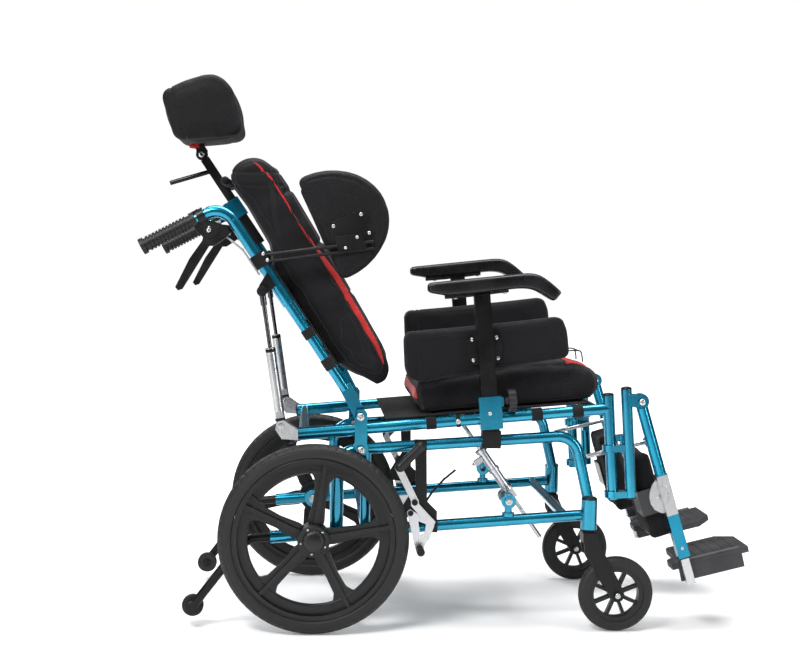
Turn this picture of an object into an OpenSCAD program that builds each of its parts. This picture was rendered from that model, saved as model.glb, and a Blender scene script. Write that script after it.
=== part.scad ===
// Tilt-in-space wheelchair with reclining back, elevating legrests and
// adjustable supports. Millimetres, X forward, Y to the sitter's left, Z up.
// Side-view points are [x, z] pairs measured from the ground point midway
// under the rear axle; place() then moves the whole chair so that the origin
// lies under the middle of its length.

/* [Wheels] */
// Outside diameter of the rear tyres
wheel_d = 404; // [398:1:406]
// Height of the rear tyre section above the rim
tyre_h = 30; // [26:1:34]
// Width of the rear tyres
tyre_w = 38; // [32:1:38]
// Distance between the rear wheels' middle planes
track = 550; // [550:1:560]
// Number of spokes in a rear wheel
spokes = 5; // [3:1:6]
// Outside diameter of the front caster wheels
caster_d = 162; // [156:1:162]
// Width of the caster wheels
caster_w = 27; // [20:1:28]
// Outside diameter of the anti-tip wheels
antitip_d = 46; // [40:1:46]

/* [Frame] */
// Distance between the middles of the left and right side frames
frame_w = 464; // [464:1:468]
// Diameter of the base and seat tubes
tube_d = 24; // [22:1:24]
// Diameter of the thick rear tubes
post_d = 29; // [26:1:29]
// Diameter of the lower back canes
cane_d = 22; // [20:1:22]
// Diameter of the upper back canes
cane_top_d = 25; // [24:1:26]
// Distance between the middles of the back canes
cane_w = 444; // [442:1:446]

/* [Seat] */
// Width of the seat cushion
cushion_w = 400; // [360:2:404]
// Width of the back cushion
back_w = 372; // [340:2:376]
// How far the left armrest stands above the right one
arm_lift_left = 28; // [0:1:32]
// Length of the square armrest post
arm_post_l = 262; // [250:1:264]

/* [Legrests] */
// Angle of the legrests from vertical
leg_angle = 17.2; // [15:0.1:19]
// Distance from the legrest pivot to the end of the leg tube
leg_l = 412; // [400:1:416]
// Length of a footplate
foot_l = 172; // [160:1:172]
// Width of a footplate
foot_w = 148; // [130:1:148]

/* [Controls] */
// Length of the push handle grips
grip_l = 128; // [110:1:130]
// Diameter of the push handle grips
grip_d = 33; // [30:1:34]

/* [Hidden] */
$fn = 48;

x_mid = 293.83;            // middle of the length, from the rear axle
BLUE = [0.05, 0.50, 0.66];
BLACK = [0.07, 0.07, 0.08];
DARK = [0.16, 0.16, 0.17];
SILVER = [0.78, 0.79, 0.80];
GREY = [0.35, 0.35, 0.36];

fy = frame_w / 2;
cy = cane_w / 2;
wr = wheel_d / 2;
cr = caster_d / 2;
wy = track / 2;
slack = 0.05;              // running clearance on a radius

T = [96.8, 388];           // tilt pivot
P = [95.5, 459];           // recline pivot
seat_a = 5.33;             // slope of the seat rails
cane_a = 34.4;             // lean of the back canes at rest
E = [694, 499.3];          // elevating pivot of a legrest
L = [-72, 438];            // lower pin of a gas spring
C = [-116, 721];           // upper pin of a gas spring
B = [417, 279];            // pin that carries the tilt lock
U = [312, 449];            // upper pin of the tilt lock
hang_x = 636;              // swing axis of a legrest hanger at its middle
hang_z = 397;
hang_a = 4.2;
arm_o = [368.3, 506];       // top of an armrest socket
gy = 243;                  // middle plane of a gas spring

// ---------- helpers ----------
function unit(v) = v / norm(v);
function turn(a, b, c) = acos(max(-1, min(1, unit(b - a) * unit(c - b))));
function setback(a, b, c, r) = r * tan(turn(a, b, c) / 2);
function spot(o, a, u, n) = [o.x + u * sin(a) + n * cos(a), o.y - u * cos(a) + n * sin(a)];

module place() { translate([-x_mid, 0, 0]) children(); }
module right() { children(); }
module left() { mirror([0, 1, 0]) children(); }
module both() { right() children(); left() children(); }

module rod(p, q, d) {
  v = q - p;
  l = norm(v);
  translate(p) rotate([0, acos(v.z / l), atan2(v.y, v.x)]) cylinder(h = l, d = d);
}
module ybar(p, y1, y2, d) {
  translate([p.x, y1, p.y]) rotate([-90, 0, 0]) cylinder(h = y2 - y1, d = d);
}
module slab(points, y1, y2) {
  translate([0, y2, 0]) rotate([90, 0, 0]) linear_extrude(y2 - y1) polygon(points);
}
module elbow(a, b, c, r, d, y) {
  u = unit(b - a);
  v = unit(c - b);
  t = turn(a, b, c);
  s = sign(u.x * v.y - u.y * v.x);
  p = b - u * setback(a, b, c, r);
  m = p + s * r * [-u.y, u.x];
  a0 = atan2(p.y - m.y, p.x - m.x);
  translate([m.x, y, m.y]) rotate([90, 0, 0]) rotate([0, 0, s > 0 ? a0 : a0 - t])
    rotate_extrude(angle = t) translate([r, 0]) circle(d = d);
}
module pipe(pts, d, r, y) {
  n = len(pts);
  for (i = [0 : n - 2]) {
    w = unit(pts[i + 1] - pts[i]);
    p = i == 0 ? pts[i] : pts[i] + w * setback(pts[i - 1], pts[i], pts[i + 1], r);
    q = i == n - 2 ? pts[i + 1] : pts[i + 1] - w * setback(pts[i], pts[i + 1], pts[i + 2], r);
    rod([p.x, y, p.y], [q.x, y, q.y], d);
  }
  if (n > 2) for (i = [1 : n - 2]) {
    elbow(pts[i - 1], pts[i], pts[i + 1], r, d, y);
    // fine weld rings where a bend runs into a straight length
    for (w = [unit(pts[i - 1] - pts[i]), unit(pts[i + 1] - pts[i])]) {
      e = pts[i] + w * setback(pts[i - 1], pts[i], pts[i + 1], r);
      rod([(e - w * 2).x, y, (e - w * 2).y], [(e + w * 2).x, y, (e + w * 2).y], d + 0.5);
    }
  }
}
// a frame whose -Z runs down a leaning member: o is its top, a its lean forward
module lean(o, a, y = 0) { translate([o.x, y, o.y]) rotate([0, -a, 0]) children(); }

// ---------- base frame ----------
rail0 = 384.4;             // height of the upper base rail at x 48
function low(x) = 249 - (573.5 - x) * 0.0781;

module base_side() {
  difference() {
    union() {
      pipe([[109, low(109)], [109, 389]], tube_d - 2, 40, -fy);
      pipe([[48, low(48)], [48, rail0], [557, 421.6], [590, 283]], tube_d, 45, -fy);
      rod([48, -fy, low(48)], [48, -fy, 332], post_d);
      rod([-30, -fy, low(-30)], [577, -fy, low(577)], tube_d);
      rod([-92, -fy, low(-92)], [-20, -fy, low(-20)], 27);
      ybar([0, 203], -fy - 17, -fy + 17, 42);
      ybar(T, -fy - 14, -fy + 13, 34);
      translate([591, -fy - 10, 221]) cylinder(h = 64, d = 34);
      translate([417, -fy, 236]) cylinder(h = 34, d = 16);
      translate([417, -fy, low(417) + 9]) cylinder(h = 8, d = 27);
      ybar(B, -fy - 9, -fy + 9, 32);
    }
    ybar([0, 202], -fy - 40, -fy + 40, 12.2);
    ybar(T, -fy - 30, -fy + 30, 10.2);
    ybar(B, -fy - 30, -fy + 30, 14);
    translate([591, -fy - 10, 200]) cylinder(h = 72, d = 12 + 2 * slack);
    rod([-100, -fy, low(-100)], [-22, -fy, low(-22)], 19 + 2 * slack);
  }
}
module base_frame() color(BLUE) place() {
  both() base_side();
  ybar([48, 290], -fy, fy, tube_d - 2);
  ybar([109, low(109) + 8], -fy, fy, tube_d - 5);
  ybar([540, low(540)], -fy, fy, tube_d - 3);
  // pin of the tilt lock, held in the right eye
  ybar(B, -fy - 12, -fy + 78, 14);
  ybar(B, -fy - 12, -fy - 9, 20);
}
module axle_bolts() color(SILVER) place() both() {
  // rear axle bolt, with its head outside and its nut inside
  ybar([0, 202], -wy - 30, -fy + 34, 12);
  ybar([0, 202], -wy - 37, -wy - 30, 22);
  ybar([0, 202], -fy + 18, -fy + 27, 20);
  // tilt pivot bolt and its nut
  ybar(T, -fy - 25, -fy + 22, 10);
  ybar(T, -fy - 31, -fy - 22.5, 18);
  ybar(T, -fy + 14, -fy + 21, 17);
}
module brake_mounts() color(BLACK) place() both() {
  difference() {
    union() {
      slab([[211, 408], [237, 410], [240, 280], [262, 258], [262, 216], [246, 214], [240, 240], [190, 246], [190, 272], [204, 296], [216, 312]], -fy - 18, -fy - 13);
      translate([211, -fy - 14, 384]) cube([26, 14, 26]);
      translate([246, -fy - 14, 212]) cube([18, 14, 26]);
    }
    pipe([[48, rail0], [557, 421.6]], tube_d, 40, -fy);
    rod([-30, -fy, low(-30)], [577, -fy, low(577)], tube_d);
  }
  ybar([213, 279.6], -fy - 33, -fy - 17, 8);
  ybar([213, 279.6], -fy - 36, -fy - 33, 13);
  ybar([205, 255], -fy - 26.5, -fy - 17, 8);
  ybar([205, 255], -fy - 27.4, -fy - 26.5, 12);
  // rest on the base rail under the armrest socket
  difference() {
    translate([356, -fy - 17, 394]) cube([40, 32, 37]);
    pipe([[48, rail0], [557, 421.6]], tube_d, 40, -fy);
  }
}
module lock_cable() color(BLACK) place() {
  // release cable of the tilt lock, clipped to the right side of the base
  pts = [[306, -192, 339], [281, -192, 318], [256, -192, 290], [238, -192, 262], [206, -192, 250], [150, -192, 246], [126, -212, 246]];
  for (i = [0 : len(pts) - 2]) {
    rod(pts[i], pts[i + 1], 5);
    translate(pts[i + 1]) sphere(d = 6.2);
  }
}

// ---------- seat frame ----------
function rail(x) = 434.5 + (x - 138) * 0.0933;

module seat_side() {
  difference() {
    union() {
      rod([-42, -fy, rail(-42)], [78, -fy, rail(78)], post_d - 1);
      rod([70, -fy, rail(70)], [632, -fy, rail(632)], tube_d);
      // front post, which carries the legrest hanger
      lean([hang_x, hang_z], hang_a, -fy) translate([0, 0, -113]) cylinder(h = 226, d = tube_d);
      // pivot plate for tilt and recline
      slab([[84, 452], [84, 384], [90, 375], [104, 375], [110, 384], [110, 466], [104, 474], [88, 474]], -fy - 20.5, -fy - 15.5);
      translate([97, -fy - 16, rail(97) - 8]) cube([12, 10, 18], center = false);
      // gas spring bracket on the rear end of the rail
      for (y = [-gy - 11.5, -gy + 8.5]) slab([[-84, 430], [-82, 446], [-66, 450], [-36, 430], [-36, 408], [-70, 410]], y, y + 3.5);
      slab([[-50, 438], [-36, 430], [-36, 408], [-50, 409]], -gy - 10, -gy + 10);
      // socket of the armrest post
      lean(arm_o, seat_a, -fy - 13) translate([-24, -17, -70]) cube([48, 34, 70]);
      lean(arm_o, seat_a, -fy - 13) translate([20, -15, -23]) cube([9, 20, 20]);
    }
    lean(arm_o, seat_a, -fy - 13) translate([-17 - slack, -11 - slack, -90]) cube([34 + 2 * slack, 22 + 2 * slack, 100]);
    lean(arm_o, seat_a, -fy - 13) translate([10, -5, -13]) rotate([0, 90, 0]) cylinder(h = 30, d = 8 + 2 * slack);
    ybar(T, -fy - 40, -fy, 10 + 2 * slack);
    ybar(P, -fy - 40, -fy, 10 + 2 * slack);
    ybar(L, -gy - 40, -gy + 40, 8 + 2 * slack);
  }
}
module seat_frame() color(BLUE) place() {
  both() seat_side();
  ybar([-24, rail(-24)], -fy, fy, tube_d - 2);
  ybar([U.x + 26, U.y + 5], -fy, fy, tube_d - 2);
  ybar([600, rail(600)], -fy, fy, tube_d - 2);
  // ears for the upper end of the tilt lock
  difference() {
    for (y = [-183, -162]) slab([[300, 442], [308, 436], [318, 438], [340, 450], [340, 458], [320, 460], [304, 457]], y, y + 5);
    ybar(U, -200, -140, 6);
  }
}
module seat_sling() color(BLACK) place() {
  slab([[150, rail(150) + 12.4], [586, rail(586) + 12.4], [586, rail(586) + 16], [150, rail(150) + 16]], -fy + 14, fy - 14);
}
module seat_cushion() color(BLACK) place() {
  // low part between the rails, high part between the thigh pads
  slab([[216, rail(216) + 16.1], [594, rail(594) + 16.1], [620, 503], [627, 532], [607, 566], [470, 566], [223, 521], [207, 508]], -cushion_w / 2 - 4, cushion_w / 2 + 4);
  slab([[216, rail(216) + 18], [594, rail(594) + 18], [619, 505], [628, 533], [610, 572], [560, 575], [212, 560], [198, 552], [204, 508]], -187, 187);
}

// ---------- reclining back ----------
function cane(u, n) = [-90 - u * 0.565 + n * 0.825, 738 + u * 0.825 + n * 0.565];
K = cane(197, 0);          // corner between cane and push handle
H = [-367, 811];           // rear end of the push handle
hu = unit(H - K);
hn = [hu.y, -hu.x];        // up and back from the handle

module cane_side() {
  foot = cane(-272, 0);
  rod([foot.x, -cy, foot.y], [cane(-50, 0).x, -cy, cane(-50, 0).y], cane_d);
  rod([cane(-54, 0).x, -cy, cane(-54, 0).y], [cane(-10, 0).x, -cy, cane(-10, 0).y], cane_d + 5);
  pipe([cane(-20, 0), K, H], cane_top_d, 45, -cy);
  // foot plate of the cane and the pivot stud of the back
  slab([[50, 516], [72, 530], [106, 466], [84, 452]], -cy - 8, -cy + 6);
  ybar(P, -cy - 8, -cy + 6, 25);
  ybar(P, -fy - 24, -cy, 10);
  ybar(P, -fy - 27, -fy - 21.5, 18);
}
module back_frame() color(BLUE) place() {
  both() cane_side();
  ybar([-203, 887], -cy, cy, tube_d - 4);
  ybar(cane(16, 0), -cy, cy, cane_d - 2);
  ybar(cane(-197, 0), -cy, cy, cane_d - 2);
  // headrest holder on the upper bar
  difference() {
    lean(cane(187, 12), cane_a, 0) translate([-20, -18, -22]) cube([38, 36, 44]);
    lean(cane(187, 16), cane_a, 0) translate([-10 - slack, -10 - slack, -40]) cube([20 + 2 * slack, 20 + 2 * slack, 80]);
  }
}
module grip_place() { translate([H.x, -cy, H.y]) rotate([0, 90 + asin(hu.y), 0]) children(); }
module hand_grips() color(BLACK) place() both() grip_place() {
  difference() {
    union() {
      translate([0, 0, -4]) cylinder(h = grip_l, d = grip_d - 5);
      translate([0, 0, -4]) cylinder(h = 9, d = grip_d + 3);
      translate([0, 0, grip_l - 14]) cylinder(h = 10, d = grip_d + 2);
      for (i = [0 : 11]) translate([0, 0, 12 + i * 8]) cylinder(h = 4.5, d = grip_d);
    }
    cylinder(h = grip_l + 4, d = cane_top_d);
  }
}
function hp(s, t) = H - hu * s + hn * t;
LP = hp(138, -34);         // pivot of a hand lever
module cane_brackets() color(BLACK) place() both() {
  // hand lever perch round the push handle
  difference() {
    union() {
      grip_place() translate([0, 0, grip_l + 0.5]) cylinder(h = 17, d = cane_top_d + 9);
      for (s = [-1, 1]) slab([hp(130, -15), hp(144, -15), hp(147, -34), hp(143, -42), hp(133, -42), hp(129, -34)], -cy + s * 8 - 2.5, -cy + s * 8 + 2.5);
    }
    grip_place() translate([0, 0, grip_l - 10]) cylinder(h = 60, d = cane_top_d);
    ybar(LP, -cy - 20, -cy + 20, 6 + 2 * slack);
  }
  ybar(LP, -cy - 13, -cy - 10.5, 11);
  // clamp and two rods that carry the side support
  difference() {
    union() {
      translate([cane(57, 0).x, -cy, cane(57, 0).y]) rotate([0, -cane_a, 0]) translate([-14.8, -13.6, -15]) cube([32.8, 32, 30]);
      for (u = [49, 65]) rod([cane(u, 8).x, -cy - 3, cane(u, 8).y], [118, -cy - 3, cane(u, 8).y + (118 - cane(u, 8).x) * 0.1425], 7);
    }
    rod([cane(20, 0).x, -cy, cane(20, 0).y], [cane(100, 0).x, -cy, cane(100, 0).y], cane_top_d);
  }
  // lug for the head of the gas spring
  difference() {
    slab([cane(28, 0), cane(-6, 0), cane(-9, -30), cane(-4, -40), cane(6, -40), cane(14, -30)], -cy - 13, -cy + 13);
    rod([cane(-20, 0).x, -cy, cane(-20, 0).y], [cane(100, 0).x, -cy, cane(100, 0).y], cane_top_d);
    ybar(cane(16, 0), -cy, cy, cane_d - 2);
  }
}
module back_sling() color(BLACK) place() {
  slab([cane(38, 12.5), cane(38, 16), cane(-225, 16), cane(-225, 12.5)], -cy + 8, cy - 8);
}
module back_cushion() color(BLACK) place() {
  slab([cane(38, 16), cane(72, 36), cane(169, 42), cane(242, 38), cane(257, 52), cane(264, 78), cane(257, 108), cane(240, 126), cane(208, 135), cane(127, 136), cane(-63, 127), cane(-125, 123), cane(-238, 116), cane(-284, 109), cane(-300, 101), cane(-322, 66), cane(-225, 16)], -back_w / 2, back_w / 2);
}
module recline_cables() color(SILVER) place() both() {
  // from the hand lever perch down behind the cane to the gas spring lug
  pts = [hp(149, -26), cane(122, -26), cane(96, -17.5), cane(32, -17.5)];
  for (i = [0 : len(pts) - 2]) rod([pts[i].x, -cy, pts[i].y], [pts[i + 1].x, -cy, pts[i + 1].y], 4.5);
  for (i = [1, 2]) translate([pts[i].x, -cy, pts[i].y]) sphere(d = 5.6);
}

// ---------- rear wheels ----------
module spin_y(y) { translate([0, y, wr]) rotate([90, 0, 0]) children(); }
module wheel(phase) spin_y(0) {
  rim = wr - tyre_h;
  difference() {
    union() {
      difference() {
        translate([0, 0, -17]) cylinder(h = 34, r = rim);
        translate([0, 0, -30]) cylinder(h = 60, r = rim - 11);
      }
      difference() {
        translate([0, 0, -5]) cylinder(h = 10, r = rim - 5);
        translate([0, 0, -30]) cylinder(h = 60, r = rim - 32);
      }
      translate([0, 0, -22]) cylinder(h = 49, d = 68);
      for (k = [0 : spokes - 1]) rotate([0, 0, phase + k * 360 / spokes]) {
        translate([0, 0, -6]) linear_extrude(12) polygon([[10, -13], [42, -17], [84, -13], [rim - 50, -15], [rim - 38, -22], [rim - 27, -36], [rim - 27, 36], [rim - 38, 22], [rim - 50, 15], [84, 13], [42, 17], [10, 13]]);
        translate([0, 0, -13]) linear_extrude(26) polygon([[20, -6], [rim - 7, -4], [rim - 7, 4], [20, 6]]);
      }
    }
    translate([0, 0, -40]) cylinder(h = 90, r = 6 + slack);
  }
}
module tyre() spin_y(0) {
  rotate_extrude($fn = 96) translate([wr - tyre_h, 0]) polygon([[0, -17], [4, -tyre_w / 2], [16, -tyre_w / 2], [25, -tyre_w / 2 + 5], [29, -8], [tyre_h, 0], [29, 8], [25, tyre_w / 2 - 5], [16, tyre_w / 2], [4, tyre_w / 2], [0, 17]]);
}
module wheel_right() color(BLACK) place() translate([0, -wy, 0]) wheel(82);
module tyre_right() color(DARK) place() translate([0, -wy, 0]) tyre();
module wheel_left() color(BLACK) place() left() translate([0, -wy, 0]) wheel(46);
module tyre_left() color(DARK) place() left() translate([0, -wy, 0]) tyre();

// ---------- casters ----------
cx = 653;
module caster_fork() translate([0, -fy - 10, 0]) {
  difference() {
    union() {
      for (s = [-1, 1]) slab([[576, 206], [606, 206], [621, 176], [664, 96], [669, 81], [664, 70], [653, 66], [643, 70], [638, 79], [604, 132], [580, 176]], s * (caster_w / 2 + 5) - 2.5, s * (caster_w / 2 + 5) + 2.5);
      slab([[576, 206], [576, 215], [606, 215], [606, 206], [612, 194], [577, 194]], -caster_w / 2 - 7.5, caster_w / 2 + 7.5);
      translate([591, 0, 214]) cylinder(h = 56, d = 12);
      translate([591, 0, 214]) cylinder(h = 5, d = 28);
    }
  }
  ybar([cx, cr], -caster_w / 2 - 13, caster_w / 2 + 13, 8);
  ybar([cx, cr], -caster_w / 2 - 12.5, -caster_w / 2 - 7.5, 15);
  ybar([cx, cr], caster_w / 2 + 7.5, caster_w / 2 + 12.5, 15);
}
module caster_wheel() translate([cx, -fy - 10, cr]) rotate([90, 0, 0]) difference() {
  union() {
    rotate_extrude() translate([cr - 21, 0]) polygon([[0, -caster_w / 2], [13, -caster_w / 2], [19, -caster_w / 2 + 4], [21, -3], [21, 3], [19, caster_w / 2 - 4], [13, caster_w / 2], [0, caster_w / 2]]);
    difference() {
      translate([0, 0, -11]) cylinder(h = 22, r = cr - 20);
      translate([0, 0, -20]) cylinder(h = 40, r = cr - 32);
    }
    translate([0, 0, -caster_w / 2 + 0.5]) cylinder(h = caster_w - 1, r = 16);
    for (k = [0 : 7]) rotate([0, 0, 22 + k * 45]) translate([10, -3.5, -7]) cube([cr - 38, 7, 14]);
  }
  translate([0, 0, -30]) cylinder(h = 60, r = 4 + slack);
}
module caster_fork_right() color(BLACK) place() caster_fork();
module caster_wheel_right() color(DARK) place() caster_wheel();
module caster_fork_left() color(BLACK) place() left() caster_fork();
module caster_wheel_left() color(DARK) place() left() caster_wheel();

// ---------- anti-tip wheels ----------
A = [-256, antitip_d / 2 + 22];
module anti_tip() {
  // socket tube, then two short lengths that make the bend
  k = [[-26, low(-26)], [-132, low(-132)], [-156, low(-156) - 14], A];
  for (i = [0 : 2]) rod([k[i].x, -fy, k[i].y], [k[i + 1].x, -fy, k[i + 1].y], 19);
  for (i = [1, 2]) translate([k[i].x, -fy, k[i].y]) sphere(d = 19.6);
  ybar(A, -fy - 9.5, -fy + 9.5, 26);
  ybar(A, -fy, -fy + 34, 8);
  ybar(A, -fy + 31, -fy + 34, 14);
}
module anti_tip_wheel() difference() {
  union() {
    ybar(A, -fy + 11, -fy + 29, antitip_d - 4);
    ybar(A, -fy + 14, -fy + 26, antitip_d);
  }
  ybar(A, -fy - 2, -fy + 40, 8 + 2 * slack);
}
module anti_tip_right() color(BLACK) place() anti_tip();
module anti_tip_wheel_right() color(DARK) place() anti_tip_wheel();
module anti_tip_left() color(BLACK) place() left() anti_tip();
module anti_tip_wheel_left() color(DARK) place() left() anti_tip_wheel();

// ---------- parking brakes ----------
BA = [213, 279.6];
BB = [205, 255];
module brake_lever() {
  difference() {
    union() {
      slab([[169, 352], [183, 358], [221, 284], [222, 276], [258, 238], [254, 229], [243, 229], [205, 272], [205, 282]], -fy - 32.5, -fy - 27.5);
      ybar([180, 355], -fy - 46, -fy - 28, 12);
    }
    ybar(BA, -fy - 50, -fy, 8 + 2 * slack);
  }
  rod([180, -fy - 41, 356], [222, -fy - 41, 400], 21);
  translate([180, -fy - 41, 356]) sphere(d = 22);
  translate([222, -fy - 41, 400]) sphere(d = 22);
}
module brake_shoe() {
  difference() {
    slab([[197, 258], [204, 264], [213, 258], [252, 236], [256, 228], [246, 200], [238, 190], [232, 172], [220, 170], [216, 182]], -fy - 26, -fy - 21);
    ybar(BB, -fy - 50, -fy, 8 + 2 * slack);
    slab([[222, 238], [238, 232], [236, 212], [226, 208]], -fy - 30, -fy - 16);
  }
  ybar([226, 178], -wy - 18, -fy - 22, 17);
}
module brake_lever_right() color(SILVER) place() brake_lever();
module brake_shoe_right() color(SILVER) place() brake_shoe();
module brake_lever_left() color(SILVER) place() left() brake_lever();
module brake_shoe_left() color(SILVER) place() left() brake_shoe();

// ---------- legrests ----------
hy = -fy - 18;             // middle plane of a legrest
module hanger() {
  difference() {
    union() {
      lean([hang_x, hang_z], hang_a, -fy) {
        for (z = [-108, -8]) translate([0, 0, z]) cylinder(h = 14, d = 36);
        for (z = [-108, -8]) translate([0, -24, z]) cube([36, 24, 14]);
      }
      lean([hang_x, hang_z], hang_a, hy) translate([36, 0, -108]) cylinder(h = 234, d = tube_d - 1);
      // ears of the elevating pivot
      slab([[670, 514], [694, 514], [702, 506], [702, 493], [697, 488], [671, 488]], hy - 15, hy - 10);
      slab([[670, 514], [694, 514], [702, 506], [702, 493], [697, 488], [671, 488]], hy + 10, hy + 15);
      slab([[664, 514], [675, 514], [675, 488], [667, 488]], hy - 14, hy + 14);
      // block over the strut of the elevating lock
      slab([[654, 420], [676, 420], [676, 376], [664, 376]], hy + 8, hy + 26);
      slab([[646, 408], [676, 412], [676, 424], [646, 420]], hy + 24, hy + 50);
    }
    lean([hang_x, hang_z], hang_a, -fy) translate([0, 0, -120]) cylinder(h = 140, d = tube_d + 2 * slack);
    ybar(E, hy - 30, hy + 30, 8);
  }
  ybar(E, hy - 19, hy + 17, 8);
  ybar(E, hy - 20, hy - 15, 15);
}
module leg_tube() {
  difference() {
    lean(E, leg_angle, hy) union() {
      translate([0, 9.5, 0]) rotate([90, 0, 0]) cylinder(h = 19, d = 34);
      translate([0, 0, -168]) cylinder(h = 154, d = 25);
      translate([-12.5, -12.5, -352]) cube([25, 25, 188]);
      // side plate and back plate of the calf pad
      translate([-58, 12, -246]) cube([70, 4, 56]);
      translate([-58, 12, -246]) cube([5, 62, 56]);
      // lug of the strut
      translate([-8, 0, -104]) cube([16, 36, 16]);
    }
    lean(E, leg_angle, hy) translate([-9 - slack, -9 - slack, -420]) cube([18 + 2 * slack, 18 + 2 * slack, 280]);
    ybar(E, hy - 30, hy + 30, 8 + 2 * slack);
  }
  ybar(Q, hy + 30, hy + 48, 8);
}
Q = spot(E, leg_angle, 96, 0);
module leg_strut() {
  // rod of the elevating lock, pinned on the leg
  y = hy + 43;
  s = Q - 137 * [cos(14.4), sin(14.4)];
  difference() {
    union() {
      rod([s.x, y, s.y], [Q.x - 4, y, Q.y - 1], 10);
      ybar(Q, y - 6, y + 6, 20);
    }
    ybar(Q, y - 20, y + 20, 8 + 2 * slack);
  }
}
module calf_pad() lean(E, leg_angle, hy) translate([-53, 18, -304]) cube([46, 128, 190]);
module leg_extension() lean(E, leg_angle, hy) difference() {
  translate([-9, -9, -leg_l]) cube([18, 18, leg_l - 236]);
  translate([-6.5, -6.5, -leg_l - 1]) cube([13, 13, leg_l - 240]);
}
foot_a = 14;
module footplate(shift) translate([830 + shift, hy + 12, 116]) rotate([0, -foot_a, 0]) {
  // the hinge line runs along the top of the outer wall, at the height of the plate
  difference() {
    translate([-46, 0, 27]) linear_extrude(13) polygon([[0, 0], [foot_l, 0], [foot_l, foot_w - 40], [foot_l - 34, foot_w], [28, foot_w], [22, foot_w - 8], [22, 64], [0, 44]]);
    for (i = [0 : 5]) translate([-14 + i * 21, 16, 39]) cube([9, foot_w - 42, 6]);
  }
  translate([-32, 0, -2]) cube([foot_l - 30, 6, 31]);
  translate([-40, 4.6, 38]) rotate([0, 90, 0]) cylinder(h = foot_l - 26, d = 14);
}
module hanger_right() color(BLUE) place() hanger();
module leg_tube_right() color(BLUE) place() leg_tube();
module leg_strut_right() color(SILVER) place() leg_strut();
module calf_pad_right() color(DARK) place() calf_pad();
module leg_extension_right() color(SILVER) place() leg_extension();
module footplate_right() color(GREY) place() footplate(0);
module hanger_left() color(BLUE) place() left() hanger();
module leg_tube_left() color(BLUE) place() left() leg_tube();
module leg_strut_left() color(SILVER) place() left() leg_strut();
module calf_pad_left() color(DARK) place() left() calf_pad();
module leg_extension_left() color(SILVER) place() left() leg_extension();
module footplate_left() color(GREY) place() left() footplate(14);

// ---------- armrests ----------
ay = -fy - 13;             // middle plane of the armrest post
module arm_post_solid() { lean(arm_o, seat_a, ay) translate([-17, -11, -72]) cube([34, 22, 306]); }
module arm_post(up) translate([-up * sin(seat_a), 0, up * cos(seat_a)]) {
  difference() {
    arm_post_solid();
    lean(arm_o, seat_a, ay) translate([-40, -20, arm_post_l - 28]) cube([80, 40, 40]);
  }
  // four-hole plate of the thigh pad
  difference() {
    lean(arm_o, seat_a, ay) translate([-34, 11, 68]) cube([68, 4, 66]);
    for (x = [-26, 26], z = [78, 122]) lean(arm_o, seat_a, ay) translate([x, 30, z]) rotate([90, 0, 0]) cylinder(h = 60, d = 6.4);
  }
}
module arm_pad(up) translate([-up * sin(seat_a), 0, up * cos(seat_a)]) difference() {
  slab([[233, 723], [266, 719], [268, 716.5], [362, 728], [420, 736.5], [452, 735], [476, 723], [499, 710], [517, 729], [480, 760], [462, 769], [446, 770], [236, 746], [231, 740]], ay - 34, ay + 14);
  lean(arm_o, seat_a, ay) translate([-17, -11, 0]) cube([34, 22, arm_post_l - 28]);
}
module thigh_pad(up, fwd) translate([fwd - up * sin(seat_a), 0, up * cos(seat_a)]) {
  slab([[187, 560], [183, 628], [192, 640], [214, 643], [516, 678], [530, 672], [540, 648], [546, 600], [540, 587], [224, 528], [196, 538]], ay + 15, ay + 54);
}
module armrest_knob() lean(arm_o, seat_a, ay) translate([0, -5, -13]) rotate([0, 90, 0]) {
  translate([0, 0, 17.6]) cylinder(h = 25, d = 8);
  translate([0, 0, 34]) cylinder(h = 7, d = 16);
  translate([0, 0, 40]) difference() {
    cylinder(h = 16, r = 24.5);
    for (k = [0 : 5]) rotate([0, 0, k * 60]) translate([28, 0, -1]) cylinder(h = 30, r = 8);
  }
}
module armrest_post_right() color(BLACK) place() arm_post(0);
module armrest_pad_right() color(BLACK) place() arm_pad(0);
module thigh_pad_right() color(BLACK) place() thigh_pad(0, 0);
module armrest_knob_right() color(BLACK) place() armrest_knob();
module armrest_post_left() color(BLACK) place() left() arm_post(arm_lift_left);
module armrest_pad_left() color(BLACK) place() left() arm_pad(arm_lift_left);
module thigh_pad_left() color(BLACK) place() left() thigh_pad(arm_lift_left, 30);
module armrest_knob_left() color(BLACK) place() left() armrest_knob();

// ---------- headrest ----------
HH = cane(330, 16);        // headrest hinge
HL = cane(288, 16);        // pivot of the headrest lever
module headrest_stem() color(BLACK) place() {
  difference() {
    union() {
      lean(HH, cane_a, 0) translate([-10, -10, -238]) cube([20, 20, 226]);
      ybar(HH, -9, 9, 26);
    }
    ybar(HH, -20, 20, 8 + 2 * slack);
  }
  ybar(HL, 9, 26, 8);
  ybar(HL, 24, 27, 14);
}
module headrest_pad() color(BLACK) place() {
  slab([[-318, 1048], [-346, 1136], [-341, 1151], [-300, 1172], [-256, 1187], [-232, 1190], [-210, 1180], [-192, 1161], [-178, 1118], [-168, 1073], [-172, 1062], [-186, 1054], [-272, 1044], [-300, 1042]], -112, 112);
  // fork under the pad and its pin
  for (s = [-1, 1]) slab([HH + [-11, -4], HH + [0, -12], HH + [11, -4], HH + [12, 10], [-262, 1044.9], [-285, 1042.9], HH + [-12, 10]], s * 13 - 3, s * 13 + 3);
  ybar(HH, -18, 18, 8);
  ybar(HH, -19.5, -16, 15);
  ybar(HH, 16, 19.5, 15);
}
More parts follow.
